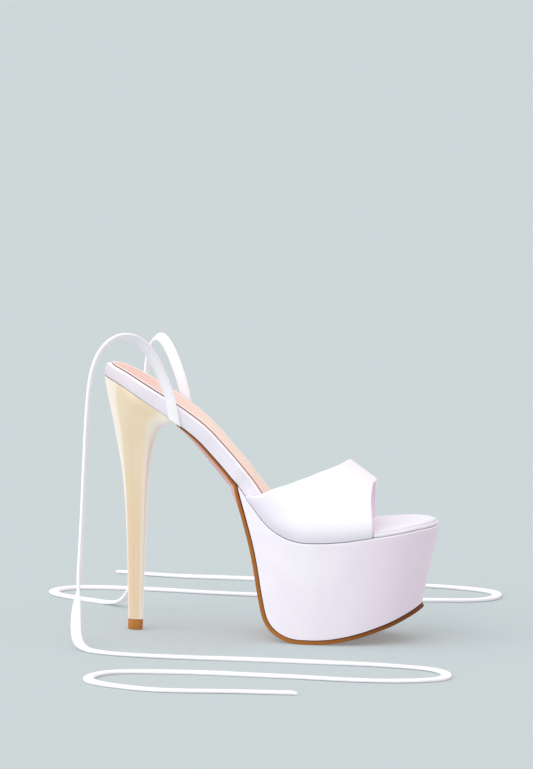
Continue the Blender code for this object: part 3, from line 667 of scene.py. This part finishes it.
def outsole_rings(stations, across):
    shank_x = x_at(np.linspace(LIP_ALONG, WEDGE_ALONG, 20))[:-1]
    nx, nz = bed_normal(shank_x)
    low_x, low_z = tread_path(60)
    x = np.concatenate([shank_x - nx * BOARD_GAP, low_x])
    z = np.concatenate([bed_height(shank_x) - nz * BOARD_GAP, low_z])
    length = run_along(np.stack([x, z], 1))
    run = round_spread(stations, both=False)
    x, z = steady(length, x, length[-1] * run), steady(length, z, length[-1] * run)
    nx, nz = side_of_normal(x, z)
    keys, edge, crown = np.array(SOLE).T
    edge = OUTSOLE_THICKNESS * steady(keys, edge, run)
    crown = SHANK_CROWN * steady(keys, crown, run)
    outer, inner = platform_edges(x, z, 0.0)
    tuck = SHANK_INSET * (1 - ramp(along_at(x), WEDGE_ALONG - TUCK_RUN, WEDGE_ALONG + TUCK_RUN))
    outer, inner = meeting([outer + tuck, inner - tuck])

    def row_points(share, thick, pull=0.0):
        y = outer + (inner - outer) * share
        y = y - np.sign(share - 0.5) * np.minimum(pull, np.abs(inner - outer) / 2)
        return np.stack([x - nx * thick, y, z - nz * thick], 1)

    shares = np.linspace(0, 1, across + 1)
    soft = EDGE_SOFT * edge
    columns = [
        row_points(s, edge + crown * (1 - (2 * s - 1) ** 2), soft * (s in (0, 1))) for s in shares
    ]
    columns += [row_points(1.0, edge * depth) for depth in EDGE_ROWS[::-1]]
    columns += [row_points(s, 0.0, soft * (s in (0, 1))) for s in shares[::-1]]
    columns += [row_points(0.0, edge * depth) for depth in EDGE_ROWS]
    return np.stack(columns, 1)


EDGE_TAN = (0.42, 0.145, 0.026)
EDGE_DARK = (0.115, 0.030, 0.004)

sole_edge = Finish("sole_edge_ink", IOR=1.28)
streak = sole_edge.cloud(0.0011, 3.0, (0.10, 1.0, 1.0))
toe_dark = sole_edge.toward_toe(0.55, 0.98)
# Painted shade: the top of the inked edge, against the board, is made dark, most of all along the shank,
# for the shade in the gap there.
shank_gap_shade = 1 - sole_edge.toward_toe(0.40, 0.47)
painted_gap_shade = (1 - sole_edge.mark("depth").between(0.10, 0.45)) * (0.35 + 0.65 * shank_gap_shade)
sole_edge.give(
    Base_Color=sole_edge.blend(0.20 * streak + 0.80 * toe_dark + painted_gap_shade, EDGE_TAN, EDGE_DARK),
    Roughness=0.45 + 0.2 * streak,
)
sole_edge.relief(streak, 0.00008)

sole_sheet = Finish("sole_sheet", IOR=1.5, Coat_Weight=0.15, Coat_Roughness=0.3)
sheet_tone = sole_sheet.cloud(0.015, 4.0)
sheet_wear = sole_sheet.cloud(0.0018, 2.0)
sole_sheet.give(
    Base_Color=sole_sheet.blend(sheet_tone, (0.78, 0.40, 0.38), (0.70, 0.34, 0.31)),
    Roughness=0.42 + 0.2 * sheet_wear,
)
sole_sheet.relief(sheet_wear + sole_sheet.pebble(0.0009), 0.00008)

sole_across = 20
sole_rings = outsole_rings(260, sole_across)
sole_zones = [1] * sole_across + [0] * (sole_rings.shape[1] - sole_across)
sole_depths = [1.0] * (sole_across + 1) + EDGE_ROWS[::-1] + [0.0] * (sole_across + 1) + EDGE_ROWS
sole_mesh = loft(
    "outsole", sole_rings, (True, False), sole_zones,
    {"depth": np.tile(sole_depths, (len(sole_rings), 1))},
)
fit(sole_mesh, [sole_edge, sole_sheet], "outsole", "outsole")


# Heel: a slim moulded heel, metallised in mirror-like pale gold, screwed up under the seat. The
# section is round at the back and flatter at the breast.
TOP_PIECE_HEIGHT = 0.0063
HEEL_FOOT = TOP_PIECE_HEIGHT + CLEARANCE
CORNER_REACH = 2.6
# Painted highlight: a cream stripe down the heel's back, leaning and narrowing lower down, and a painted
# sheen on the back's rounding.
HIGHLIGHT_EDGE = -0.63
HIGHLIGHT_LEAN = 4.0
HIGHLIGHT_NARROWS = 0.125
HIGHLIGHT_SOFT = 0.013
BACK_SHINE = 0.45
BREAST_SQUARENESS = 3.2
BACK_SQUARENESS = 2.2
RINGS_CROWD = 1.4

# Rings from the seat down: back, height of the back, breast, height of the breast, half width,
# and how far the ring keeps the seat's outline.
HEEL = [
    (0.0020, 1.000, 0.2255, 1.000, 0.975, 1.00),
    (0.0050, 0.965, 0.2140, 0.820, 0.950, 1.00),
    (0.0080, 0.947, 0.1970, 0.813, 0.900, 0.96),
    (0.0150, 0.902, 0.1790, 0.806, 0.800, 0.86),
    (0.0210, 0.869, 0.1710, 0.788, 0.700, 0.72),
    (0.0335, 0.795, 0.1615, 0.762, 0.540, 0.46),
    (0.0445, 0.725, 0.1525, 0.720, 0.415, 0.24),
    (0.0570, 0.640, 0.1440, 0.640, 0.320, 0.08),
    (0.0686, 0.530, 0.1400, 0.530, 0.270, 0.00),
    (0.0792, 0.368, 0.1378, 0.368, 0.232, 0.00),
    (0.0846, 0.244, 0.1375, 0.244, 0.208, 0.00),
    (0.0901, 0.087, 0.1368, 0.087, 0.192, 0.00),
    (0.0930, 0.000, 0.1370, 0.000, 0.185, 0.00),
]


def heel_ring(back, breast, half, seat, height_at, around=96):
    """D-shaped ring: rounded at the back, flatter with rounded corners at the breast."""
    seat_back, seat_breast = x_at(HEEL[0][0]), x_at(HEEL[0][2])
    middle, reach_x = (back + breast) / 2, (breast - back) / 2
    turn = 2 * np.pi * np.arange(around) / around
    across, front = np.sin(turn), np.cos(turn)
    power = np.where(front > 0, 2 / BREAST_SQUARENESS, 2 / BACK_SQUARENESS)
    x = middle + reach_x * np.copysign(np.abs(front) ** power, front)
    stem = half * np.copysign(np.abs(across) ** power, across)
    outer, inner = half_widths(seat_back + (seat_breast - seat_back) * (x - back) / (breast - back), 0.0)
    side = np.where(across > 0, inner, outer) * half / (SEAT_WIDTH / 2)
    corner = np.tanh(across * CORNER_REACH)
    seat_y = np.where(front > 0, np.abs(side) * corner, side)
    y = np.where(np.abs(across) > 1e-9, stem + (seat_y - stem) * seat, 0.0)
    return np.stack([x, y, height_at(x, back, breast)], 1), front


def heel_rings(count):
    back, back_up, breast, breast_up, half, seat = np.array(HEEL).T
    back, breast = x_at(back), x_at(breast)
    back_z = HEEL_FOOT + back_up * (HEEL_HEIGHT - HEEL_FOOT)
    breast_z = HEEL_FOOT + breast_up * (HEEL_HEIGHT - HEEL_FOOT)
    back_z[0], breast_z[0] = bed_height(back[0]) - CLEARANCE, bed_height(breast[0]) - CLEARANCE
    keys = run_along(np.stack([back, back_z], 1))
    keys /= keys[-1]
    at = np.linspace(0, 1, count + 1) ** RINGS_CROWD
    lines = [steady(keys, v, at) for v in (back, breast, back_z, breast_z, half * SEAT_WIDTH / 2, seat)]
    rings = []
    for i, (b, f, bz, fz, h, s) in enumerate(zip(*lines)):
        if i == 0:
            rings.append(heel_ring(b, f, h, s, lambda x, b, f: bed_height(x) - BOARD_GAP))
        else:
            rings.append(heel_ring(b, f, h, s, lambda x, b, f: bz + (fz - bz) * (x - b) / (f - b)))
    return rings


plated_gold = Finish("plated_gold", Coat_Weight=0.5, Coat_Roughness=0.08)
# Painted reflection: pale peach toward the breast, where the plating is also made less metallic and
# rougher.
toward_breast = plated_gold.mark("breast").between(0.15, 0.65)
lower = 1 - plated_gold.along("Z").between(0.060, 0.115)
gold = plated_gold.blend(lower, (0.93, 0.79, 0.57), (0.92, 0.72, 0.50))
gold = plated_gold.blend(toward_breast, gold, (1.0, 0.95, 0.86))
rounding = plated_gold.mark("breast")
# Painted highlight: the cream stripe down the back and the sheen on its rounding.
below = HIGHLIGHT_NARROWS - plated_gold.along("Z")
narrowed = HIGHLIGHT_LEAN * below.join("MAXIMUM", below)
highlight_stripe = 1 - (rounding + narrowed).between(HIGHLIGHT_EDGE - HIGHLIGHT_SOFT, HIGHLIGHT_EDGE + HIGHLIGHT_SOFT)
back_shine = BACK_SHINE * (1 - rounding.between(-0.97, -0.74))
gold = plated_gold.blend(highlight_stripe + back_shine, gold, (1.0, 0.920, 0.765))
smear = plated_gold.cloud(0.010, 3.0, (1.0, 1.0, 0.25))
blurred = 0.17 + 0.06 * smear + 0.3 * toward_breast + 0.15 * plated_gold.along("Z").between(0.085, 0.140)
plated_gold.give(Base_Color=gold, Metallic=1 - 0.7 * toward_breast, Roughness=blurred)
plated_gold.relief(plated_gold.cloud(0.009, 1.0, (1.0, 1.0, 0.3)), 0.00005)

rings, fronts = zip(*heel_rings(150))
heel = loft("plated_heel", rings, (True, True), marks={"breast": np.array(fronts)})
fit(heel, [plated_gold], "heel", "heel")


# Top piece: the small wearing block under the heel, moulded in tan-brown rubber with its edges
# just broken, and pinned up into the heel.
top_rubber = Finish("top_piece_rubber", IOR=1.35)
rubber_tone = top_rubber.cloud(0.0015, 3.0)
top_rubber.give(
    Base_Color=top_rubber.blend(rubber_tone, (0.50, 0.200, 0.035), (0.38, 0.145, 0.025)),
    Roughness=0.45 + 0.2 * rubber_tone,
)
top_rubber.relief(rubber_tone, 0.0001)

TOP_BACK, TOP_BREAST = float(x_at(HEEL[-1][0])), float(x_at(HEEL[-1][2]))
TOP_HALF = HEEL[-1][4] * SEAT_WIDTH / 2
TOP_CHAMFER = TOP_PIECE_HEIGHT * 0.06
top_rings = [
    heel_ring(TOP_BACK + inset, TOP_BREAST - inset, TOP_HALF - inset, 0.0, lambda x, b, f: 0 * x + up)[0]
    for inset, up in (
        (TOP_CHAMFER, 0.0), (TOP_CHAMFER * 0.3, TOP_CHAMFER * 0.3), (0.0, TOP_CHAMFER),
        (0.0, TOP_PIECE_HEIGHT - TOP_CHAMFER), (TOP_CHAMFER * 0.5, TOP_PIECE_HEIGHT),
    )
]
fit(loft("top_piece", top_rings, (True, True)), [top_rubber], "top_piece", "top_piece")


# Vamp: one wide band lasted over the forefoot and cemented between board and platform. White
# outside and pink-mauve lining, turned and closed round its edges.
INSTEP_HEIGHT = 0.087
TOE_BOX_HEIGHT = 0.031
LAST_ROUNDNESS = 2.4
BULGE_HEIGHT = 0.010
VAMP_BULGE = 0.0020
RIDGE_SHIFT = 0.004
TURNED_FLAT = 0.6
APEX_SOFT = 0.0010
FRONT_ALONG = 0.8125
FRONT_FALL = 0.184

# Ridge of the last behind the apex, as a share of the instep height. It runs on past the apex,
# where the straight fall to the toe box takes over.
RIDGE = [
    (0.400, 0.760),
    (0.480, 0.840),
    (0.550, 0.830),
    (0.640, 0.712),
    (0.732, 0.537),
    (0.860, 0.295),
]

# Edges of the vamp from the seam up to the ridge: outer rear, inner rear, outer front, inner front.
VAMP_EDGES = [
    (0.000, 0.4328, 0.4600, 0.8085, 0.8090),
    (0.060, 0.4660, 0.4930, 0.8078, 0.8091),
    (0.110, 0.4860, 0.5200, 0.8074, 0.8091),
    (0.176, 0.5130, 0.5640, 0.8066, 0.8092),
    (0.300, 0.5800, 0.6330, 0.8034, 0.8097),
    (0.440, 0.6408, 0.6840, 0.8006, 0.8108),
    (0.620, 0.6930, 0.7210, 0.8016, 0.8118),
    (0.750, 0.7125, 0.7330, 0.8034, 0.8122),
    (0.880, 0.7247, 0.7345, 0.8070, 0.8125),
    (1.000, 0.7314, 0.7314, 0.8125, 0.8125),
]


def last_points(x, turn):
    """Points of the last over the board: `turn` goes from the outer seam over to the inner seam."""
    keys, instep = np.array(RIDGE).T
    rising = INSTEP_HEIGHT * steady(keys, instep, along_at(x))
    falling = TOE_BOX_HEIGHT + (FRONT_ALONG - along_at(x)) * FRONT_FALL
    ridge = -APEX_SOFT * np.log(np.exp(-rising / APEX_SOFT) + np.exp(-falling / APEX_SOFT))
    outer, inner = half_widths(x, 0.0)
    power = 2 / LAST_ROUNDNESS
    up = ridge * np.abs(np.sin(np.pi * turn)) ** power
    side = np.abs(np.cos(np.pi * turn)) ** power
    swell = VAMP_BULGE * up / BULGE_HEIGHT * np.exp(1 - up / BULGE_HEIGHT)
    y = np.where(turn < 0.5, outer * side - swell, inner * side + swell)
    return np.stack([x, y + RIDGE_SHIFT * (up / ridge) ** 2, bed_height(x) + CLEARANCE + up], -1)


def vamp_rings(around, along):
    """Rings across the band: outside from rear to front, round the edge, and back on the lining."""
    turns = np.linspace(0, 1, around + 1)
    share = 1 - np.abs(2 * turns - 1)
    keys, *edges = np.array(VAMP_EDGES).T
    outer_rear, inner_rear, outer_front, inner_front = (steady(keys, edge, share) for edge in edges)
    rear = x_at(np.where(turns < 0.5, outer_rear, inner_rear))
    front = x_at(np.where(turns < 0.5, outer_front, inner_front))
    steps = np.linspace(0, 1, along + 1)
    x = rear[:, None] + (front - rear)[:, None] * steps
    skin = last_points(x, np.repeat(turns[:, None], along + 1, axis=1))
    ahead = np.gradient(skin, axis=1)
    over = np.gradient(skin, axis=0)
    out = np.cross(ahead, over)
    out /= np.linalg.norm(out, axis=2)[:, :, None]
    out *= np.sign(out[around // 2, along // 2, 2])
    ahead /= np.linalg.norm(ahead, axis=2)[:, :, None]
    half = VAMP_WALL / 2
    core = skin - out * half

    def turned(column, way):
        bends = [np.pi * turn for turn in (0.25, 0.5, 0.75)]
        return [
            core[:, column] + way * half
            * (out[:, column] * np.cos(bend) + ahead[:, column] * np.sin(bend) * TURNED_FLAT)
            for bend in bends
        ]

    columns = [skin[:, k] for k in range(along + 1)] + turned(-1, 1)
    columns += [core[:, k] - out[:, k] * half for k in range(along, -1, -1)] + turned(0, -1)
    return np.stack(columns, 1)


vamp_white = Leather("vamp_white", (0.975, 0.945, 0.985), (0.955, 0.920, 0.970), 0.00006)
# Painted shade: the white is made lavender low down by the seam and at the rear lower corner.
vamp_low_shade = 1 - vamp_white.along("Z").between(0.064, 0.081)
vamp_back_shade = 1 - vamp_white.along("X").between(-0.008, 0.026)
vamp_rear_shade = vamp_back_shade * (1 - vamp_white.along("Z").between(0.082, 0.104))
vamp_white.tint(0.65 * vamp_low_shade + vamp_rear_shade, (0.745, 0.715, 0.82))
vamp_lining = Finish("vamp_lining", IOR=1.45)
lining_tone = vamp_lining.cloud(0.010, 3.0)
vamp_lining.give(
    Base_Color=vamp_lining.blend(lining_tone, (0.86, 0.75, 0.86), (0.80, 0.67, 0.80)),
    Roughness=0.55 + 0.15 * vamp_lining.cloud(0.0015),
)
vamp_lining.relief(vamp_lining.pebble(0.0006), 0.00005)

VAMP_AROUND, VAMP_ALONG = 160, 60
band_rings = vamp_rings(VAMP_AROUND, VAMP_ALONG)
band_zones = [0] * band_rings.shape[1]
for strip in range(VAMP_ALONG + 3, 2 * VAMP_ALONG + 5):
    band_zones[strip] = 1
fit(loft("vamp_band", band_rings, (True, True), band_zones), [vamp_white, vamp_lining], "vamp", "vamp")


# Toe insole: a thin foam pad in the white cover, laid over the board in front of the band. The
# cover is turned down over the rim, which makes a bead with a crease inside it.
PAD_STARTS = 0.780
PAD_HEIGHT = 0.0036
PAD_SWELL = 0.0003
PAD_WIDENS = (0.8112, 0.8150)
PAD_ROWS = [
    (0.0008, 0.00), (0.0003, 0.05), (0.0001, 0.13), (0.0000, 0.28), (0.0001, 0.42), (0.0004, 0.53),
    (0.0008, 0.60), (0.0012, 0.57), (0.0014, 0.59), (0.0014, 0.72), (0.0015, 0.86), (0.0018, 0.96),
    (0.0024, 1.02), (0.0034, 1.05),
]


def pad_edges(x, inset):
    """The pad reaches the platform's rim in front of the band, and stays inside the band's wall."""
    front = ramp(along_at(x), *PAD_WIDENS)
    wide, narrow = half_widths(x, inset + CLEARANCE), half_widths(x, inset + LEDGE + CLEARANCE)
    return [n + (w - n) * front for w, n in zip(wide, narrow)]


pad_white = Leather("toe_pad_white", (0.825, 0.80, 0.87), (0.785, 0.765, 0.845), 0.00006)
pad_rings = slab_rings(
    [(inset, lambda x, up=share: 0 * x + PAD_HEIGHT * up) for inset, share in PAD_ROWS],
    round_spread(140, both=False),
    lambda inset: x_at(PAD_STARTS),
    lambda inset: reach(inset + CLEARANCE)[1],
    pad_edges, crown=PAD_SWELL,
)
toe_pad = fit(loft("toe_pad", pad_rings, (True, False)), [pad_white], "insole")


# Ties: two limp flat straps, folded and stitched along both edges. Each is sewn to the board's
# side at the back, turns over above it, falls to the floor and lies there loose, its end bare.
TIE_WIDTH = 0.0063
TIE_THICKNESS = 0.0018
TIE_RADIUS = math.sqrt(TIE_WIDTH * TIE_THICKNESS / math.pi)
TIE_GAP = 0.0005
ROOT_STANDS = 0.0022
ROOT_SLANT = 1.03
SLANT_RINGS = 10
STITCH_PITCH = 0.0030
STITCH_LENGTH = 0.0023
STITCH_RADIUS = 0.00017
STITCH_LINE = 0.70
STITCH_SITS = 0.45
SEAM_STARTS, SEAM_STOPS = 0.018, 0.004
THREAD_SPOKES = 6
ROUTE_POINTS, TIE_POINTS = 400, 720
ROUTE_SOFTENINGS = 12
TIE_LEAN, LEAN_WAVES = 0.05, 31

OUTER_ROUTE = [
    (-0.0668, -0.0281, 0.1600),
    (-0.0708, -0.0298, 0.1690),
    (-0.0760, -0.0335, 0.1785),
    (-0.0830, -0.0395, 0.1862),
    (-0.0915, -0.0468, 0.1895),
    (-0.1000, -0.0538, 0.1872),
    (-0.1065, -0.0590, 0.1795),
    (-0.1102, -0.0616, 0.1680),
    (-0.1120, -0.0626, 0.1440),
    (-0.1126, -0.0630, 0.1090),
    (-0.1130, -0.0638, 0.0700),
    (-0.1138, -0.0668, 0.0360),
    (-0.1145, -0.0730, 0.0165),
    (-0.1130, -0.0830, 0.0055),
    (-0.1060, -0.0950, 0.0021),
    (-0.0900, -0.1040, 0.0021),
    (-0.0560, -0.1075, 0.0021),
    (-0.0060, -0.1060, 0.0021),
    (0.0420, -0.1060, 0.0021),
    (0.0800, -0.1080, 0.0021),
    (0.1100, -0.1190, 0.0021),
    (0.1130, -0.1470, 0.0021),
    (0.0780, -0.1640, 0.0021),
    (0.0150, -0.1620, 0.0021),
    (-0.0480, -0.1620, 0.0021),
    (-0.0900, -0.1740, 0.0021),
    (-0.0980, -0.2050, 0.0021),
    (-0.0620, -0.2270, 0.0021),
    (-0.0100, -0.2220, 0.0021),
    (0.0250, -0.2190, 0.0021),
]
INNER_ROUTE = [
    (-0.0585, 0.0271, 0.1550),
    (-0.0620, 0.0288, 0.1635),
    (-0.0660, 0.0328, 0.1722),
    (-0.0708, 0.0394, 0.1786),
    (-0.0757, 0.0478, 0.1802),
    (-0.0798, 0.0552, 0.1735),
    (-0.0818, 0.0600, 0.1640),
    (-0.0826, 0.0618, 0.1410),
    (-0.0829, 0.0622, 0.1050),
    (-0.0832, 0.0628, 0.0680),
    (-0.0842, 0.0655, 0.0360),
    (-0.0868, 0.0715, 0.0165),
    (-0.0930, 0.0815, 0.0055),
    (-0.1045, 0.0925, 0.0021),
    (-0.1240, 0.1050, 0.0021),
    (-0.1420, 0.1250, 0.0021),
    (-0.1310, 0.1480, 0.0021),
    (-0.0920, 0.1550, 0.0021),
    (-0.0300, 0.1500, 0.0021),
    (0.0350, 0.1500, 0.0021),
    (0.0950, 0.1540, 0.0021),
    (0.1390, 0.1680, 0.0021),
    (0.1440, 0.1980, 0.0021),
    (0.1060, 0.2150, 0.0021),
    (0.0450, 0.2130, 0.0021),
    (-0.0200, 0.2160, 0.0021),
    (-0.0700, 0.2160, 0.0021),
    (-0.1040, 0.2240, 0.0021),
]

# Half of the strap's section: share of the half width, share of the half thickness.
STRAP_SECTION = [
    (-1.00, 0.00), (-0.985, 0.45), (-0.93, 0.80), (-0.84, 1.00), (-0.75, 0.97), (-0.70, 0.80),
    (-0.65, 0.90), (-0.50, 1.00), (-0.25, 1.04), (0.00, 1.05), (0.25, 1.04), (0.50, 1.00),
    (0.65, 0.90), (0.70, 0.80), (0.75, 0.97), (0.84, 1.00), (0.93, 0.80), (0.985, 0.45),
]


def beside_board(side, x, height, out):
    """A point beside the board: over its underside at x by a height, and out from its side."""
    nx, nz = bed_normal(x)
    y = half_widths(x, 0.0)[0 if side < 0 else 1] + side * (CLEARANCE + out)
    return np.array([x + nx * height, y, bed_height(x) + nz * height], float)


def evenly(line, count):
    """The same line as points at equal distances along it."""
    keys = run_along(line)
    at = np.linspace(0, keys[-1], count)
    return np.stack([np.interp(at, keys, line[:, k]) for k in range(3)], axis=1)


def tie_line(side, foot, rim, route):
    """A tie's middle line: up the board's side from the foot, then its loose route."""
    foot, rim = x_at(foot), x_at(rim)
    along = (rim - foot) / bed_normal((foot + rim) / 2)[1]
    run = math.hypot(along, board_thickness(rim) + ROOT_STANDS)
    back, up = (rim - foot) / run, (board_thickness(rim) + ROOT_STANDS) / run

    def root_point(reached):
        return beside_board(side, foot + reached * back, reached * up, TIE_THICKNESS / 2)

    loose = evenly(flowing([root_point(run + TIE_GAP), *route], ROUTE_POINTS), ROUTE_POINTS)
    for _ in range(ROUTE_SOFTENINGS):
        loose[1:-1] = (loose[:-2] + 2 * loose[1:-1] + loose[2:]) / 4
    loose[:, 2] = np.maximum(loose[:, 2], TIE_RADIUS + CLEARANCE / 2)
    sunk = (TIE_RADIUS - TIE_THICKNESS / 2) * (1 - ramp(loose[:, 2], 0.002, 0.012))
    loose[:, 2] -= sunk
    root = [root_point(run * share) for share in np.linspace(0.0, 0.96, 8)]
    return evenly(np.vstack([root, loose]), TIE_POINTS)


def tie_frames(line, phase):
    """Directions along, across and out of the strap's face, turned flat where it lies down."""
    ahead = np.gradient(line, axis=0)
    ahead /= np.linalg.norm(ahead, axis=1)[:, None]
    across = np.zeros_like(line)
    held = np.cross(ahead[0], (0.0, 1.0, 0.0))
    for i, direction in enumerate(ahead):
        held = held - direction * held.dot(direction)
        held /= np.linalg.norm(held)
        flat = np.cross(direction, (0.0, 0.0, 1.0))
        if np.linalg.norm(flat) > 1e-6:
            flat *= math.copysign(1 / np.linalg.norm(flat), flat.dot(held))
            lying = 1 - float(ramp(line[i, 2], 0.003, 0.050))
            held = held + (flat - held) * lying * 0.25
            held /= np.linalg.norm(held)
        across[i] = held
    out = np.cross(ahead, across)
    lean = TIE_LEAN * np.sin(np.linspace(0, LEAN_WAVES, len(line)) + phase)[:, None]
    across = across * np.cos(lean) + out * np.sin(lean)
    return ahead, across, np.cross(ahead, across)


def strap_rings(line, frames):
    ahead, across, out = frames
    half, thick = TIE_WIDTH / 2, TIE_THICKNESS / 2
    section = STRAP_SECTION + [(-a, -b) for a, b in STRAP_SECTION]
    lift = np.maximum(0.0, thick * np.abs(out[:, 2]) + half * np.abs(across[:, 2]) - line[:, 2])
    middle = line + lift[:, None] * (0.0, 0.0, 1.0)
    rings = np.stack([middle + across * half * a + out * thick * b for a, b in section], 1)
    slants = [(ring, ROOT_SLANT * (1 - ring / SLANT_RINGS)) for ring in range(SLANT_RINGS)] + [(-1, 0.5)]
    for k, (a, _) in enumerate(section):
        for ring, slant in slants:
            rings[ring, k] += ahead[ring] * a * half * slant
    return middle, rings


def stitches(name, line, frames):
    """Thread of both seams on both faces of a strap, as one mesh of short rounded stitches."""
    ahead, across, out = frames
    length = run_along(line)
    at = np.arange(SEAM_STARTS, length[-1] - SEAM_STOPS, STITCH_PITCH)

    def sampled(values):
        return np.stack([np.interp(at, length, values[:, k]) for k in range(3)], 1)

    centre, along, side, up = (sampled(v) for v in (line, ahead, across, out))
    profile = [(-0.5, 0.0), (-0.36, 0.85), (0.0, 1.0), (0.36, 0.85), (0.5, 0.0)]
    turns = np.linspace(0, 2 * np.pi, THREAD_SPOKES + 1)[:-1]
    spokes = [(math.cos(t), math.sin(t)) for t in turns]
    points, faces = [], []
    for face in (-1, 1):
        for seam in (-1, 1):
            base = centre + side * seam * STITCH_LINE * TIE_WIDTH / 2
            base = base + up * face * TIE_THICKNESS * STITCH_SITS
            for middle, a, s, u in zip(base, along, side, up):
                first = len(points)
                for place, size in profile:
                    for right, high in spokes:
                        offset = (s * right + u * high) * face
                        points.append(middle + a * place * STITCH_LENGTH + offset * STITCH_RADIUS * size)
                for ring in range(len(profile) - 1):
                    near = first + ring * THREAD_SPOKES
                    far = near + THREAD_SPOKES
                    for k in range(THREAD_SPOKES):
                        m = (k + 1) % THREAD_SPOKES
                        faces.append((near + k, near + m, far + m, far + k))
    mesh = bpy.data.meshes.new(name)
    mesh.from_pydata([tuple(p) for p in points], [], faces)
    return bpy.data.objects.new(name, mesh)


tie_white = Leather("tie_white", (0.98, 0.955, 0.985), (0.94, 0.91, 0.965), 0.00005)
thread_white = Finish("thread_white", Roughness=0.55)
thread_tone = thread_white.cloud(0.004)
thread_white.give(Base_Color=thread_white.blend(thread_tone, (0.86, 0.82, 0.91), (0.80, 0.76, 0.87)))

for side_name, side, foot, rim, route, phase in (
    ("outer", -1, 0.2175, 0.1715, OUTER_ROUTE, 0.4),
    ("inner", 1, 0.2490, 0.2040, INNER_ROUTE, 2.1),
):
    line = tie_line(side, foot, rim, route)
    frames = tie_frames(line, phase)
    middle, rings = strap_rings(line, frames)
    strap = loft(f"tie_strap_{side_name}", rings, (True, True))
    fit(strap, [tie_white], "tie", f"tie_{side_name}", f"tie_root_{side_name}")
    thread = fit(stitches(f"tie_thread_{side_name}", middle, frames), [thread_white], "tie")
    tuple(middle[0])


# Photograph's view: a long lens low beside the outer side, a little ahead of square and rolled.
# The shoe keeps the photograph's place in the frame.
IMAGE_WIDTH, IMAGE_HEIGHT = 533, 769
PIXELS_PER_METRE = 1613
TREAD_PIXEL = (311.1, 636.6)
TREAD_POINT = Vector((0.02865, 0.0, 0.0))
AZIMUTH, ELEVATION, ROLL = (math.radians(a) for a in (1.7, 8.3, 2.0))
DISTANCE = 4.0
SENSOR = 36

level = Vector((math.cos(AZIMUTH), math.sin(AZIMUTH), 0.0))
toward = Vector((-math.sin(AZIMUTH), math.cos(AZIMUTH), 0.0))
upright = Vector((0, 0, 1)) * math.cos(ELEVATION) + toward * math.sin(ELEVATION)
right = level * math.cos(ROLL) + upright * math.sin(ROLL)
up = upright * math.cos(ROLL) - level * math.sin(ROLL)
look = up.cross(right)
centre = TREAD_POINT - right * (TREAD_PIXEL[0] - IMAGE_WIDTH / 2) / PIXELS_PER_METRE
centre += up * (TREAD_PIXEL[1] - IMAGE_HEIGHT / 2) / PIXELS_PER_METRE
target = Vector((0.0, -0.03, 0.075))
offset = target - (centre + look * (target - centre).dot(look))
view_height = IMAGE_HEIGHT / PIXELS_PER_METRE

camera_data = bpy.data.cameras.new("photo_camera")
camera = bpy.data.objects.new("photo_camera", camera_data)
bpy.context.scene.collection.objects.link(camera)
pose = Matrix((right, up, -look)).transposed().to_4x4()
pose.translation = target - look * DISTANCE
camera.matrix_world = pose
camera_data.sensor_fit = "VERTICAL"
camera_data.sensor_height = SENSOR
camera_data.lens = SENSOR * DISTANCE / view_height
camera_data.shift_x = -offset.dot(right) / view_height
camera_data.shift_y = -offset.dot(up) / view_height
camera_data.clip_end = 100
bpy.context.scene.camera = camera


# Studio: a plain pale floor under an even bright tent, with one very soft lamp. The floor's paper is
# faintly lit from below, which keeps shadows pale. The plated heel mirrors the tent's lighter back
# left and the dim gap at its front right.
FLOOR_LIT = 0.25
FLOOR_GLOW = (0.617, 0.687, 0.694)
FLOOR_TONE = tuple(tone * (1 - FLOOR_LIT) for tone in (0.507, 0.568, 0.579))
TENT_PLAIN = (0.87, 0.87, 0.87)
TENT_BRIGHT = (0.97, 0.98, 1.04)
TENT_GAP = (0.76, 0.74, 0.73)
TENT_WARM = (0.96, 0.90, 0.87)
FLOOR_SPAN = 40.0


class Sky(Finish):
    """The tent round the floor, coloured by direction."""

    def __init__(self, name):
        self.world = bpy.data.worlds.new(name)
        self.wire(self.world, "Background")


tent = Sky("studio_tent")
way = tent.node("ShaderNodeTexCoord", output="Generated")
way_x, way_y, way_z = (tent.node("ShaderNodeSeparateXYZ", None, {0: way}, output=k) for k in range(3))
around = way_x.join("ARCTAN2", way_x, way_y * -1.0) * (180 / math.pi)
tone = tent.blend(1 - around.between(-140.0, -60.0), TENT_PLAIN, TENT_BRIGHT)
tone = tent.blend(around.between(22.0, 36.0), tone, TENT_GAP)
tone = tent.blend(around.between(54.0, 62.0), tone, TENT_WARM)
tent.give(Color=tent.blend(way_z.between(0.45, 0.85), tone, (1.0, 1.0, 1.0)), Strength=1.0)
bpy.context.scene.world = tent.world

floor_finish = Finish(
    "floor_paper", Roughness=1.0, Specular_IOR_Level=0.0,
    Emission_Color=FLOOR_GLOW, Emission_Strength=FLOOR_LIT,
)
floor_shade = floor_finish.cloud(0.5) * 0.02
floor_finish.give(Base_Color=floor_finish.blend(floor_shade, FLOOR_TONE, (0.4, 0.4, 0.4)))
floor_mesh = bpy.data.meshes.new("studio_floor")
floor_corners = [(x * FLOOR_SPAN, y * FLOOR_SPAN, 0.0) for x, y in ((-1, -1), (1, -1), (1, 1), (-1, 1))]
floor_mesh.from_pydata(floor_corners, [], [(0, 1, 2, 3)])
floor_mesh.materials.append(floor_finish.material)
studio_floor = bpy.data.objects.new("studio_floor", floor_mesh)
bpy.context.scene.collection.objects.link(studio_floor)
studio_floor.location.z = -0.0001
studio_floor.visible_glossy = False

key_light = bpy.data.lights.new("key", "SUN")
key_light.energy = 1.40
key_light.angle = math.radians(70)
key = bpy.data.objects.new("key", key_light)
bpy.context.scene.collection.objects.link(key)
key.rotation_euler = Vector((0.62, 0.55, -0.56)).to_track_quat("-Z", "Y").to_euler()

scene = bpy.context.scene
scene.view_settings.view_transform = "Standard"
scene.view_settings.look = "None"
